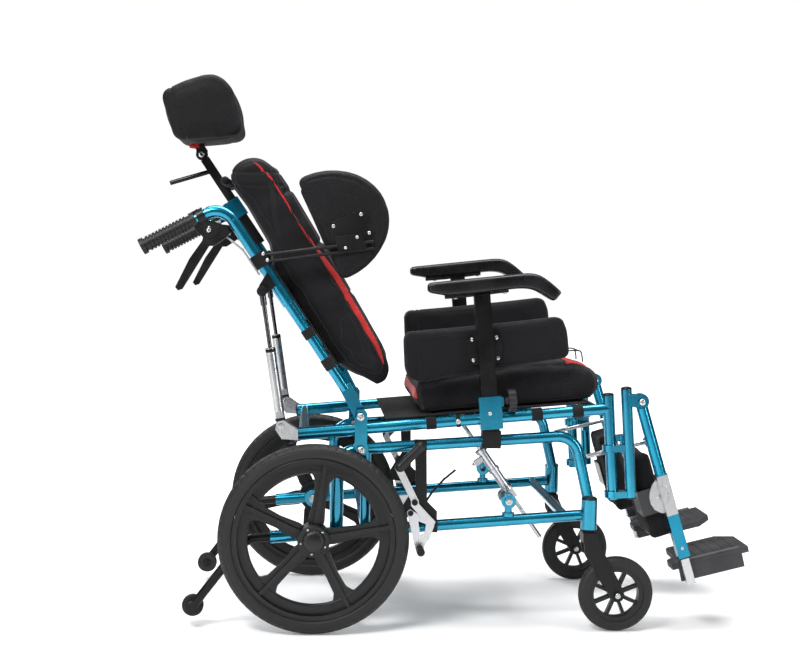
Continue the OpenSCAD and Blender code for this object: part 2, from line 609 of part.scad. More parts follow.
module headrest_lever() color(BLACK) place() {
  difference() {
    ybar(HL, 11, 22, 20);
    ybar(HL, 0, 30, 8 + 2 * slack);
  }
  difference() {
    rod([HL.x, 16.5, HL.y], [HL.x - 96, 16.5, HL.y - 30], 10.5);
    ybar(HL, 0, 30, 16);
  }
}

// ---------- side supports ----------
lat_u = [-0.414, 0.910];   // along the front face of the back cushion
lat_n = [0.910, 0.414];
module lateral_pad() {
  slab([for (a = [-90 : 10 : 90]) [8.7, 863] + lat_u * (-7.5 + 119 * sin(a)) + lat_n * (5 + 140 * cos(a))], -cy + 2, -cy + 33);
  // sleeves on the two rods of the clamp
  difference() {
    slab([for (v = [[44, 806], [104, 814.5], [92, 846], [36, 838]]) v], -cy - 8, -cy + 2);
    for (u = [49, 65]) rod([cane(u, 8).x, -cy - 3, cane(u, 8).y], [200, -cy - 3, cane(u, 8).y + (200 - cane(u, 8).x) * 0.1425], 7 + 2 * slack);
  }
}
module lateral_pad_right() color(BLACK) place() lateral_pad();
module lateral_pad_left() color(BLACK) place() left() lateral_pad();

// ---------- hand levers ----------
module hand_lever() {
  difference() {
    slab([LP + [-9, 3], LP + [0, 10], LP + [9, 3], LP + [6, -24], [-254, 772], [-284, 722], [-293, 719], [-299, 726], [-270, 786], LP + [-14, -22]], -cy - 5, -cy + 5);
    ybar(LP, -cy - 20, -cy + 20, 6 + 2 * slack);
  }
}
module hand_lever_right() color(BLACK) place() hand_lever();
module hand_lever_left() color(BLACK) place() left() hand_lever();

// ---------- gas springs ----------
gd = unit(C - L);
module gas_cylinders() color(SILVER) place() both() {
  difference() {
    rod([(L + gd * 8).x, -gy, (L + gd * 8).y], [(L + gd * 166).x, -gy, (L + gd * 166).y], 21);
    rod([(L + gd * 14).x, -gy, (L + gd * 14).y], [(L + gd * 170).x, -gy, (L + gd * 170).y], 9 + 2 * slack);
    ybar(L, -gy - 30, -gy - 7.5, 60);
    ybar(L, -gy + 7.5, -gy + 30, 60);
  }
  ybar(L, -gy - 7.5, -gy + 7.5, 20);
  ybar(L, -gy - 11.5, -gy + 13, 8);
}
module gas_rods() color(DARK) place() both() {
  rod([(L + gd * 104).x, -gy, (L + gd * 104).y], [C.x, -gy, C.y], 9);
  rod([(C - gd * 30).x, -gy, (C - gd * 30).y], [C.x, -gy, C.y], 13.4);
  ybar(C, -gy - 7.5, -gy + 6.5, 22);
}

// ---------- tilt lock ----------
la = 35.35;
ly = -170;                 // middle plane of the tilt lock
module lock_housing() color(SILVER) place() translate([B.x, ly, B.y]) rotate([0, -la, 0]) {
  difference() {
    union() {
      rotate([90, 0, 0]) translate([0, 0, -11]) cylinder(h = 22, d = 29);
      translate([0, -11, -13]) cube([24, 22, 26]);
      translate([13.3, 0, 12]) cylinder(h = 100, d = 20);
      translate([13.3, 0, 8]) cylinder(h = 8, d = 26);
      translate([13.3, 0, 58]) cylinder(h = 7, d = 25);
      translate([13.3, 0, 108]) cylinder(h = 8, d = 26);
      translate([-14, -6, 90]) cube([24, 12, 12]);
      translate([-20, 0, 96]) rotate([0, 90, 0]) cylinder(h = 8, d = 7);
    }
    rotate([90, 0, 0]) translate([0, 0, -40]) cylinder(h = 80, d = 14 + 2 * slack);
    translate([13.3, 0, -20]) cylinder(h = 200, d = 9 + 2 * slack);
  }
}
module lock_rod() color(SILVER) place() translate([B.x, ly, B.y]) rotate([0, -la, 0]) {
  translate([13.3, 0, -120]) cylinder(h = 312, d = 9);
  translate([13.3, 7, 199.5]) rotate([90, 0, 0]) cylinder(h = 14, d = 20);
}

base_frame();
axle_bolts();
brake_mounts();
lock_cable();
seat_frame();
seat_sling();
seat_cushion();
back_frame();
hand_grips();
cane_brackets();
back_sling();
back_cushion();
recline_cables();
wheel_right();
tyre_right();
wheel_left();
tyre_left();
caster_fork_right();
caster_wheel_right();
caster_fork_left();
caster_wheel_left();
anti_tip_right();
anti_tip_wheel_right();
anti_tip_left();
anti_tip_wheel_left();
brake_lever_right();
brake_shoe_right();
brake_lever_left();
brake_shoe_left();
hanger_right();
leg_tube_right();
leg_strut_right();
calf_pad_right();
leg_extension_right();
footplate_right();
hanger_left();
leg_tube_left();
leg_strut_left();
calf_pad_left();
leg_extension_left();
footplate_left();
armrest_post_right();
armrest_pad_right();
thigh_pad_right();
armrest_knob_right();
armrest_post_left();
armrest_pad_left();
thigh_pad_left();
armrest_knob_left();
headrest_stem();
headrest_pad();
headrest_lever();
lateral_pad_right();
lateral_pad_left();
hand_lever_right();
hand_lever_left();
gas_cylinders();
gas_rods();
lock_housing();
lock_rod();
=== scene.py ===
import math

import bmesh
import bpy
import numpy as np
from mathutils import Matrix, Vector
from mathutils.bvhtree import BVHTree


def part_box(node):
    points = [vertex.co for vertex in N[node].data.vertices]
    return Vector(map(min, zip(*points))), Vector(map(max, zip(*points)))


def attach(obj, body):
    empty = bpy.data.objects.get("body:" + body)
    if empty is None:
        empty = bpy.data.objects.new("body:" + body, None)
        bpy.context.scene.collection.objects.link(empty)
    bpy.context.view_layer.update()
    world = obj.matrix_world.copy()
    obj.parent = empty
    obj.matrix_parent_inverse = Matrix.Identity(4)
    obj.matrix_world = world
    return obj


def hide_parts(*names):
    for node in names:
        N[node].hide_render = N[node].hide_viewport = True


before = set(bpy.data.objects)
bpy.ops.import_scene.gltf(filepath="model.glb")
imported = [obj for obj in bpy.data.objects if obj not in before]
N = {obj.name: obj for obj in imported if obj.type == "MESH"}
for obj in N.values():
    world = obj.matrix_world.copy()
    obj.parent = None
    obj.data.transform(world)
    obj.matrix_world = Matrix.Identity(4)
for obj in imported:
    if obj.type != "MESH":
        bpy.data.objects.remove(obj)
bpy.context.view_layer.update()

SCENE = bpy.context.scene

# The CAD's side-view points are millimetres from the ground point under the
# rear axle. The rear tyre's middle says where that point is in the row frame.
_lo, _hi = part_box("tyre_right")
XM = -500.0 * (_lo.x + _hi.x)


def V(x, y, z):
    return Vector(((x - XM) / 1000.0, y / 1000.0, z / 1000.0))


def W(p, y):
    return V(p[0], y, p[1])


def cane(u, n):
    return (-90 - u * 0.565 + n * 0.825, 738 + u * 0.825 + n * 0.565)


def rail(x):
    return 434.5 + (x - 138) * 0.0933


def low(x):
    return 249 - (573.5 - x) * 0.0781


def lean(o, a, y, p):
    """A point p = (x, y, z) of a member whose top is o and which leans forward by a degrees."""
    c, s = math.cos(math.radians(a)), math.sin(math.radians(a))
    return V(o[0] + p[0] * c - p[2] * s, y + p[1], o[1] + p[0] * s + p[2] * c)


def side(p, s):
    """p on the right side, or mirrored to the left for s = -1."""
    return Vector((p[0], p[1] * s, p[2]))


E = (694, 499.3)
LEG_A = 17.2
ARM = (368.3, 506)
SEAT_A = 5.33
FY, CY, WY, GY = 232, 222, 275, 243
HY = -250
AY = -245
K = cane(197, 0)
H = (-367, 811)
_l = math.hypot(H[0] - K[0], H[1] - K[1])
HU = ((H[0] - K[0]) / _l, (H[1] - K[1]) / _l)
HN = (HU[1], -HU[0])


def hp(s, t):
    return (H[0] - HU[0] * s + HN[0] * t, H[1] - HU[1] * s + HN[1] * t)


LP = hp(138, -34)
HH = cane(330, 16)
HL = cane(288, 16)
SIDES = (("right", 1), ("left", -1))


# ---------------------------------------------------------------- camera
def make_camera():
    yaw, pitch, roll = (math.radians(a) for a in (3.564, 3.327, -1.087))
    cy, sy, cp, sp = math.cos(yaw), math.sin(yaw), math.cos(pitch), math.sin(pitch)
    cr, sr = math.cos(roll), math.sin(roll)
    fwd = Vector((sy * cp, cy * cp, -sp))
    right = Vector((cy, -sy, 0))
    down = fwd.cross(right)
    r2 = right * cr + down * sr
    d2 = -right * sr + down * cr
    m = Matrix.Identity(4)
    for i in range(3):
        m[i][0], m[i][1], m[i][2] = r2[i], -d2[i], -fwd[i]
    m.translation = V(-11.2, -3251.9, 807.3)
    data = bpy.data.cameras.new("camera")
    data.lens = 64.16
    data.sensor_width = 36.0
    data.sensor_fit = "HORIZONTAL"
    data.clip_end = 60
    cam = bpy.data.objects.new("camera", data)
    SCENE.collection.objects.link(cam)
    cam.matrix_world = m
    SCENE.camera = cam


make_camera()


# ---------------------------------------------------------------- materials
class Mat:
    """One procedural material: sockets that vary are linked, the rest are set on the shader."""

    def __init__(self, name, **fixed):
        self.m = bpy.data.materials.new(name)
        self.m.use_nodes = True
        self.t = self.m.node_tree
        self.b = self.t.nodes["Principled BSDF"]
        self.tc = self.t.nodes.new("ShaderNodeTexCoord")
        self.obj = self.tc.outputs["Object"]
        for k, v in fixed.items():
            self.set(k, v)

    def set(self, key, value):
        names = {
            "color": "Base Color", "metal": "Metallic", "rough": "Roughness", "coat": "Coat Weight",
            "coat_rough": "Coat Roughness", "sheen": "Sheen Weight", "sheen_rough": "Sheen Roughness",
            "spec": "Specular IOR Level", "ior": "IOR", "aniso": "Anisotropic", "sheen_tint": "Sheen Tint",
        }
        s = self.b.inputs[names[key]]
        if hasattr(value, "links"):
            self.t.links.new(value, s)
        elif isinstance(value, (tuple, list)):
            s.default_value = tuple(value) + ((1.0,) if len(value) == 3 and len(s.default_value) == 4 else ())
        else:
            s.default_value = value

    def node(self, kind, inputs=(), **attrs):
        n = self.t.nodes.new(kind)
        for k, v in attrs.items():
            setattr(n, k, v)
        for k, v in dict(inputs).items():
            if hasattr(v, "links"):
                self.t.links.new(v, n.inputs[k])
            else:
                n.inputs[k].default_value = v
        return n

    def math(self, op, *v, clamp=False):
        return self.node("ShaderNodeMath", {i: x for i, x in enumerate(v)}, operation=op, use_clamp=clamp).outputs[0]

    def noise(self, scale, detail=4.0, rough=0.55, vec=None, dist=0.0):
        return self.node("ShaderNodeTexNoise", {"Vector": vec or self.obj, "Scale": scale, "Detail": detail,
                                                "Roughness": rough, "Distortion": dist}).outputs["Fac"]

    def turned(self, angle=(0, 0, 0), scale=(1, 1, 1), at=(0, 0, 0)):
        return self.node("ShaderNodeMapping", {"Vector": self.obj, "Location": at,
                                               "Rotation": tuple(math.radians(a) for a in angle), "Scale": scale}).outputs[0]

    def range(self, v, a, b, c, d):
        return self.node("ShaderNodeMapRange", {"Value": v, "From Min": a, "From Max": b, "To Min": c, "To Max": d}).outputs[0]

    def ramp(self, fac, stops):
        n = self.node("ShaderNodeValToRGB", {"Fac": fac})
        r = n.color_ramp
        while len(r.elements) < len(stops):
            r.elements.new(0.5)
        for e, (p, c) in zip(r.elements, stops):
            e.position = p
            e.color = (c, c, c, 1) if isinstance(c, (int, float)) else tuple(c) + (1,)
        return n.outputs["Color"]

    def split(self, vec=None):
        n = self.node("ShaderNodeSeparateXYZ", {0: vec or self.obj})
        return n.outputs[0], n.outputs[1], n.outputs[2]

    def bump(self, height, strength, distance, normal=None):
        i = {"Height": height, "Strength": strength, "Distance": distance}
        if normal is not None:
            i["Normal"] = normal
        return self.node("ShaderNodeBump", i).outputs[0]

    def bevel(self, radius):
        return self.node("ShaderNodeBevel", {"Radius": radius}, samples=4).outputs[0]

    def normal(self, n):
        self.t.links.new(n, self.b.inputs["Normal"])


def waves(m, vec, pitch):
    """Sine of each coordinate, one period every two threads."""
    k = math.pi / pitch
    x, y, z = m.split(vec)
    return [m.math("SINE", m.math("MULTIPLY", c, k)) for c in (x, y, z)]


def weave(m, pitch, angle=0.0, wobble=0.0):
    """Egg-crate height of a plain weave, good on any face, from object coordinates. Runs from -1 to 1."""
    vec = m.turned((0, angle, 0))
    if wobble:
        n = m.node("ShaderNodeTexNoise", {"Vector": m.obj, "Scale": 60.0, "Detail": 2.0}).outputs["Color"]
        off = m.node("ShaderNodeVectorMath", {0: n, 3: wobble}, operation="SCALE").outputs[0]
        vec = m.node("ShaderNodeVectorMath", {0: vec, 1: off}, operation="ADD").outputs[0]
    a, b, c = waves(m, vec, pitch)
    n = m.node("ShaderNodeSeparateXYZ", {0: m.tc.outputs["Normal"]})
    ax, ay, az = (m.math("ABSOLUTE", n.outputs[i]) for i in range(3))
    ab = m.math("MULTIPLY", m.math("MULTIPLY", a, b), az)
    ac = m.math("MULTIPLY", m.math("MULTIPLY", a, c), ay)
    bc = m.math("MULTIPLY", m.math("MULTIPLY", b, c), ax)
    return m.math("ADD", m.math("ADD", ab, ac), bc)


def honeycomb(m, pitch, angle=0.0):
    """Hexagonal lattice of holes: 1 in a hole, about -0.5 on the threads."""
    vec = m.turned((0, angle, 0))
    k = 2 * math.pi / (pitch * 0.866)
    n = m.node("ShaderNodeSeparateXYZ", {0: m.tc.outputs["Normal"]})
    total = None
    x, y, z = m.split(vec)
    for u, v, w in ((x, z, 1), (x, y, 2), (y, z, 0)):
        s = None
        for cu, cv in ((1.0, 0.0), (-0.5, 0.866), (-0.5, -0.866)):
            d = m.math("ADD", m.math("MULTIPLY", u, cu * k), m.math("MULTIPLY", v, cv * k))
            c = m.math("COSINE", d)
            s = c if s is None else m.math("ADD", s, c)
        s = m.math("MULTIPLY", s, 1 / 3.0)
        wgt = m.math("POWER", m.math("ABSOLUTE", n.outputs[w]), 3.0)
        s = m.math("MULTIPLY", s, wgt)
        total = s if total is None else m.math("ADD", total, s)
    return total


BLUES = [(0.30, (0.003, 0.175, 0.300)), (0.55, (0.005, 0.265, 0.410)), (0.75, (0.018, 0.350, 0.510))]


def metal_blue():
    m = Mat("blue_paint", metal=0.85, coat=0.7, coat_rough=0.06, ior=1.5)
    fine, broad = m.noise(2600.0, 2.0), m.noise(9.0, 4.0)
    scratch = m.noise(90.0, 3.0, 0.7, m.turned((0, 0, 0), (1, 0.15, 1)))
    tint = m.math("ADD", m.math("MULTIPLY", broad, 0.86), m.math("MULTIPLY", fine, 0.14))
    m.set("color", m.ramp(tint, BLUES))
    m.set("rough", m.range(m.math("ADD", m.math("MULTIPLY", scratch, 0.6), m.math("MULTIPLY", broad, 0.4)), 0.3, 0.7, 0.15, 0.27))
    m.normal(m.bump(fine, 0.018, 0.0003, m.bevel(0.0012)))
    return m.m


def leg_paint():
    """Blue tube with a bare metal sleeve and plate round the middle of the leg."""
    m = Mat("leg_paint", coat=0.35, coat_rough=0.08)
    x, y, z = m.split()
    sn, cs = math.sin(math.radians(LEG_A)), math.cos(math.radians(LEG_A))
    ex, ez = (E[0] - XM) / 1000.0, E[1] / 1000.0
    down = m.math("SUBTRACT", m.math("MULTIPLY", m.math("SUBTRACT", x, ex), sn), m.math("MULTIPLY", m.math("SUBTRACT", z, ez), cs))
    mask = m.math("MULTIPLY", m.range(down, 0.1660, 0.1664, 0.0, 1.0), m.range(down, 0.2545, 0.2549, 1.0, 0.0), clamp=True)
    inner = m.range(m.math("ABSOLUTE", y), 0.2383, 0.2384, 1.0, 0.0)
    dark = m.math("MULTIPLY", inner, m.range(down, 0.12, 0.121, 0.0, 1.0), clamp=True)
    mask = m.math("MULTIPLY", mask, m.math("SUBTRACT", 1.0, dark), clamp=True)
    fine, broad = m.noise(2600.0, 2.0), m.noise(9.0, 4.0)
    brushed = m.noise(700.0, 3.0, 0.6, m.turned((0, 20, 0), (1, 1, 0.08)))
    tint = m.math("ADD", m.math("MULTIPLY", broad, 0.86), m.math("MULTIPLY", fine, 0.14))
    blue = m.ramp(tint, BLUES)
    bare = m.ramp(brushed, [(0.3, (0.42, 0.42, 0.43)), (0.7, (0.62, 0.62, 0.63))])
    mix = m.node("ShaderNodeMix", {0: mask, 6: blue, 7: bare}, data_type="RGBA").outputs[2]
    coal = m.ramp(broad, [(0.3, (0.006, 0.006, 0.007)), (0.7, (0.012, 0.012, 0.013))])
    m.set("color", m.node("ShaderNodeMix", {0: dark, 6: mix, 7: coal}, data_type="RGBA").outputs[2])
    m.set("metal", m.math("MULTIPLY", m.range(mask, 0.0, 1.0, 0.85, 1.0), m.math("SUBTRACT", 1.0, dark)))
    m.set("rough", m.math("ADD", m.range(broad, 0.3, 0.7, 0.16, 0.26), m.math("MULTIPLY", m.math("ADD", mask, dark), 0.16)))
    m.normal(m.bump(fine, 0.02, 0.0003, m.bevel(0.001)))
    return m.m


def steel(name="steel", base=(0.62, 0.63, 0.65), rough=(0.18, 0.42)):
    m = Mat(name, metal=1.0)
    brushed = m.noise(700.0, 3.0, 0.6, m.turned((0, 20, 0), (1, 1, 0.08)))
    broad = m.noise(30.0, 4.0)
    v = m.math("ADD", m.math("MULTIPLY", brushed, 0.5), m.math("MULTIPLY", broad, 0.5))
    m.set("color", m.ramp(v, [(0.3, tuple(c * 0.72 for c in base)), (0.7, base)]))
    m.set("rough", m.range(v, 0.3, 0.7, rough[0], rough[1]))
    m.normal(m.bump(brushed, 0.06, 0.0004, m.bevel(0.0007)))
    return m.m


def black_metal(name="black_paint", base=0.012, rough=(0.32, 0.5), bump=0.08):
    m = Mat(name, metal=0.0, spec=0.26)
    grain, broad = m.noise(1500.0, 3.0), m.noise(22.0, 4.0)
    m.set("color", m.ramp(broad, [(0.3, (base * 0.7, base * 0.7, base * 0.75)), (0.7, (base * 1.5, base * 1.5, base * 1.6))]))
    m.set("rough", m.range(broad, 0.3, 0.7, *rough))
    m.normal(m.bump(grain, bump, 0.0004, m.bevel(0.0008)))
    return m.m


def plastic(name, base, rough=(0.38, 0.55), grain=900.0, bump=0.12, dust=0.0):
    m = Mat(name, spec=0.34)
    g, broad = m.noise(grain, 2.0), m.noise(14.0, 5.0, 0.6)
    light = tuple(min(1.0, c * (1.35 + dust) + dust * 0.05) for c in base)
    m.set("color", m.ramp(m.math("ADD", m.math("MULTIPLY", broad, 0.75), m.math("MULTIPLY", g, 0.25)), [(0.32, tuple(c * 0.8 for c in base)), (0.72, light)]))
    m.set("rough", m.range(broad, 0.3, 0.7, *rough))
    m.normal(m.bump(g, bump, 0.0006, m.bevel(0.0009)))
    return m.m


def rubber(name, base=0.02, rough=(0.55, 0.8), dust=0.5):
    m = Mat(name, spec=0.35)
    g, broad = m.noise(1100.0, 3.0, 0.7), m.noise(16.0, 6.0, 0.65)
    v = m.math("ADD", m.math("MULTIPLY", broad, 0.7), m.math("MULTIPLY", g, 0.3))
    m.set("color", m.ramp(v, [(0.3, (base, base, base * 1.02)), (0.75, (base * (1 + 2 * dust), base * (1 + 1.9 * dust), base * (1 + 1.7 * dust)))]))
    m.set("rough", m.range(v, 0.3, 0.7, *rough))
    m.normal(m.bump(g, 0.25, 0.0008, m.bevel(0.0008)))
    return m.m


def cloth(name, base, pitch, depth, angle=0.0, speck=2.2, wobble=0.0, sheen=0.25, rough=0.9):
    """A woven cloth: threads in the bump, colour lighter on the thread tops and darker between them, following the
    weave height, soft blotches.
    """
    m = Mat(name, sheen=sheen, sheen_rough=0.45, spec=0.25, rough=rough)
    w = weave(m, pitch, angle, wobble)
    fuzz, broad = m.noise(1900.0, 2.0, 0.7), m.noise(11.0, 5.0, 0.6)
    v = m.math("ADD", m.math("MULTIPLY", w, 0.32), m.math("ADD", m.math("MULTIPLY", fuzz, 0.75), m.math("MULTIPLY", broad, 0.45)))
    m.set("color", m.ramp(v, [(0.25, tuple(c * 0.45 for c in base)), (0.62, base), (0.95, tuple(min(1.0, c * speck) for c in base))]))
    h = m.math("ADD", m.math("MULTIPLY", w, 0.6), m.math("MULTIPLY", fuzz, 0.5))
    m.normal(m.bump(h, 0.75, depth))
    return m.m


def mesh_cloth(name, base, pitch, angle=0.0, sheen=0.2):
    """Spacer mesh: small hexagonal holes with painted shade inside them, threads with a little gloss."""
    m = Mat(name, sheen=sheen, sheen_rough=0.4, spec=0.2)
    h = honeycomb(m, pitch, angle)
    fuzz, broad = m.noise(2300.0, 2.0), m.noise(10.0, 5.0, 0.6)
    hole = m.range(h, 0.1, 0.75, 0.0, 1.0)
    # painted shade: the colour is darkened inside each hole
    shade = m.math("SUBTRACT", m.math("ADD", 0.62, m.math("MULTIPLY", m.math("SUBTRACT", broad, 0.5), 0.9)), m.math("MULTIPLY", hole, 0.55))
    shade = m.math("ADD", shade, m.math("MULTIPLY", m.math("SUBTRACT", fuzz, 0.5), 0.5))
    m.set("color", m.ramp(shade, [(0.1, tuple(c * 0.25 for c in base)), (0.6, base), (1.0, tuple(min(1.0, c * 2.0) for c in base))]))
    m.set("rough", m.range(hole, 0.0, 1.0, 0.62, 0.95))
    m.normal(m.bump(m.math("SUBTRACT", m.math("MULTIPLY", fuzz, 0.25), hole), 0.8, 0.0009))
    return m.m


def skin(name, base=(0.005, 0.005, 0.006), rough=(0.22, 0.38)):
    """Self-skinned foam of an armrest pad: glossy with a leather-like grain."""
    m = Mat(name, coat=0.08, coat_rough=0.3, spec=0.32)
    cell = m.node("ShaderNodeTexVoronoi", {"Vector": m.obj, "Scale": 620.0}, feature="DISTANCE_TO_EDGE").outputs["Distance"]
    broad = m.noise(20.0, 4.0)
    m.set("color", m.ramp(broad, [(0.3, tuple(c * 0.7 for c in base)), (0.7, tuple(c * 1.5 for c in base))]))
    m.set("rough", m.range(broad, 0.3, 0.7, *rough))
    m.normal(m.bump(m.range(cell, 0.0, 0.25, 0.0, 1.0), 0.14, 0.0005))
    return m.m


def thread(name, base):
    m = Mat(name, rough=0.7, sheen=0.3, spec=0.3)
    n = m.noise(2400.0, 2.0)
    m.set("color", m.ramp(n, [(0.3, tuple(c * 0.6 for c in base)), (0.7, base)]))
    m.normal(m.bump(n, 0.4, 0.0003))
    return m.m


def webbing(name, base, pitch=0.0016):
    m = Mat(name, rough=0.75, sheen=0.08, sheen_rough=0.4, spec=0.25)
    w = weave(m, pitch, 45.0)
    broad = m.noise(25.0, 4.0)
    v = m.math("ADD", m.math("MULTIPLY", w, 0.4), broad)
    m.set("color", m.ramp(v, [(0.2, tuple(c * 0.5 for c in base)), (0.7, base), (1.0, tuple(c * 1.9 for c in base))]))
    m.normal(m.bump(w, 0.6, 0.0005))
    return m.m


M = {
    "blue": metal_blue(),
    "leg": leg_paint(),
    "steel": steel(),
    "dark_steel": steel("dark_steel", (0.16, 0.16, 0.17), (0.12, 0.26)),
    "zinc": steel("zinc_bolts", (0.66, 0.67, 0.68), (0.2, 0.38)),
    "black": black_metal("black_paint", 0.0045, (0.30, 0.48)),
    "black_gloss": black_metal("black_gloss", 0.004, (0.16, 0.30), 0.04),
    "cable": black_metal("cable_skin", 0.007, (0.35, 0.5), 0.03),
    "cable_grey": plastic("cable_grey", (0.30, 0.31, 0.32), (0.35, 0.5), bump=0.04),
    "grip": rubber("grip_rubber", 0.005, (0.34, 0.55), 0.3),
    "wheel": plastic("wheel_plastic", (0.0055, 0.0055, 0.006), (0.28, 0.44), 800.0, 0.08, 0.08),
    "tyre": rubber("tyre_rubber", 0.0085, (0.46, 0.7), 0.45),
    "caster_tyre": rubber("caster_rubber", 0.009, (0.4, 0.62), 0.45),
    "foot": plastic("footplate_plastic", (0.022, 0.022, 0.024), (0.38, 0.58), 700.0, 0.25, 0.3),
    "knob": plastic("knob_plastic", (0.016, 0.016, 0.018), (0.35, 0.5)),
    "skin": skin("armrest_foam"),
    "seat_cloth": cloth("seat_cloth", (0.0065, 0.0062, 0.0075), 0.0023, 0.0012, 5.3, 3.2, 0.0012, 0.10),
    "plain_cloth": cloth("thigh_cloth", (0.0045, 0.0043, 0.0055), 0.0013, 0.0006, 6.6, 2.4, 0.0, 0.07),
    "back_cloth": mesh_cloth("back_cloth", (0.0058, 0.0055, 0.0068), 0.0030, 34.4, 0.06),
    "mesh_cloth": mesh_cloth("mesh_cloth", (0.0055, 0.0054, 0.0064), 0.0042, 17.0, 0.05),
    "calf_cloth": cloth("calf_cloth", (0.005, 0.005, 0.006), 0.0016, 0.0007, 17.2, 2.2, 0.0, 0.07),
    "red": cloth("red_cloth", (0.42, 0.012, 0.012), 0.0014, 0.0006, 0.0, 1.5),
    "sling": cloth("sling_cloth", (0.0045, 0.0045, 0.005), 0.0011, 0.0004, 0.0, 2.0, 0.0, 0.06),
    "piping": webbing("piping", (0.008, 0.008, 0.009), 0.0010),
    "strap": webbing("strap_webbing", (0.006, 0.006, 0.007)),
    "thread": thread("thread", (0.018, 0.018, 0.021)),
    "red_thread": thread("red_thread", (0.55, 0.02, 0.02)),
}


# ---------------------------------------------------------------- mesh tools
def basis(axis):
    a = Vector(axis).normalized()
    b = Vector((0, 0, 1)) if abs(a.z) < 0.9 else Vector((1, 0, 0))
    u = a.cross(b).normalized()
    return u, a.cross(u).normalized(), a


def spline(pts, n=8, closed=False):
    """Catmull-Rom through the points."""
    pts = [Vector(p) for p in pts]
    k = len(pts)
    out = []
    last = k if closed else k - 1
    for i in range(last):
        p0 = pts[(i - 1) % k] if closed or i else pts[0] * 2 - pts[1]
        p1, p2 = pts[i], pts[(i + 1) % k]
        p3 = pts[(i + 2) % k] if closed or i < k - 2 else pts[-1] * 2 - pts[-2]
        for j in range(n):
            t = j / n
            out.append(0.5 * ((2 * p1) + (p2 - p0) * t + (2 * p0 - 5 * p1 + 4 * p2 - p3) * t * t + (3 * p1 - p0 - 3 * p2 + p3) * t ** 3))
    if not closed:
        out.append(pts[-1])
    return out


def spaced(pts, step, closed=False):
    pts = [Vector(p) for p in pts]
    if closed:
        pts = pts + [pts[0]]
    d = [0.0]
    for a, b in zip(pts, pts[1:]):
        d.append(d[-1] + (b - a).length)
    total = d[-1]
    k = max(2, int(round(total / step)))
    out, i = [], 0
    for j in range(k + (0 if closed else 1)):
        t = total * j / k
        while i < len(d) - 2 and d[i + 1] < t:
            i += 1
        f = (t - d[i]) / max(1e-9, d[i + 1] - d[i])
        out.append(pts[i].lerp(pts[i + 1], min(1.0, f)))
    return out


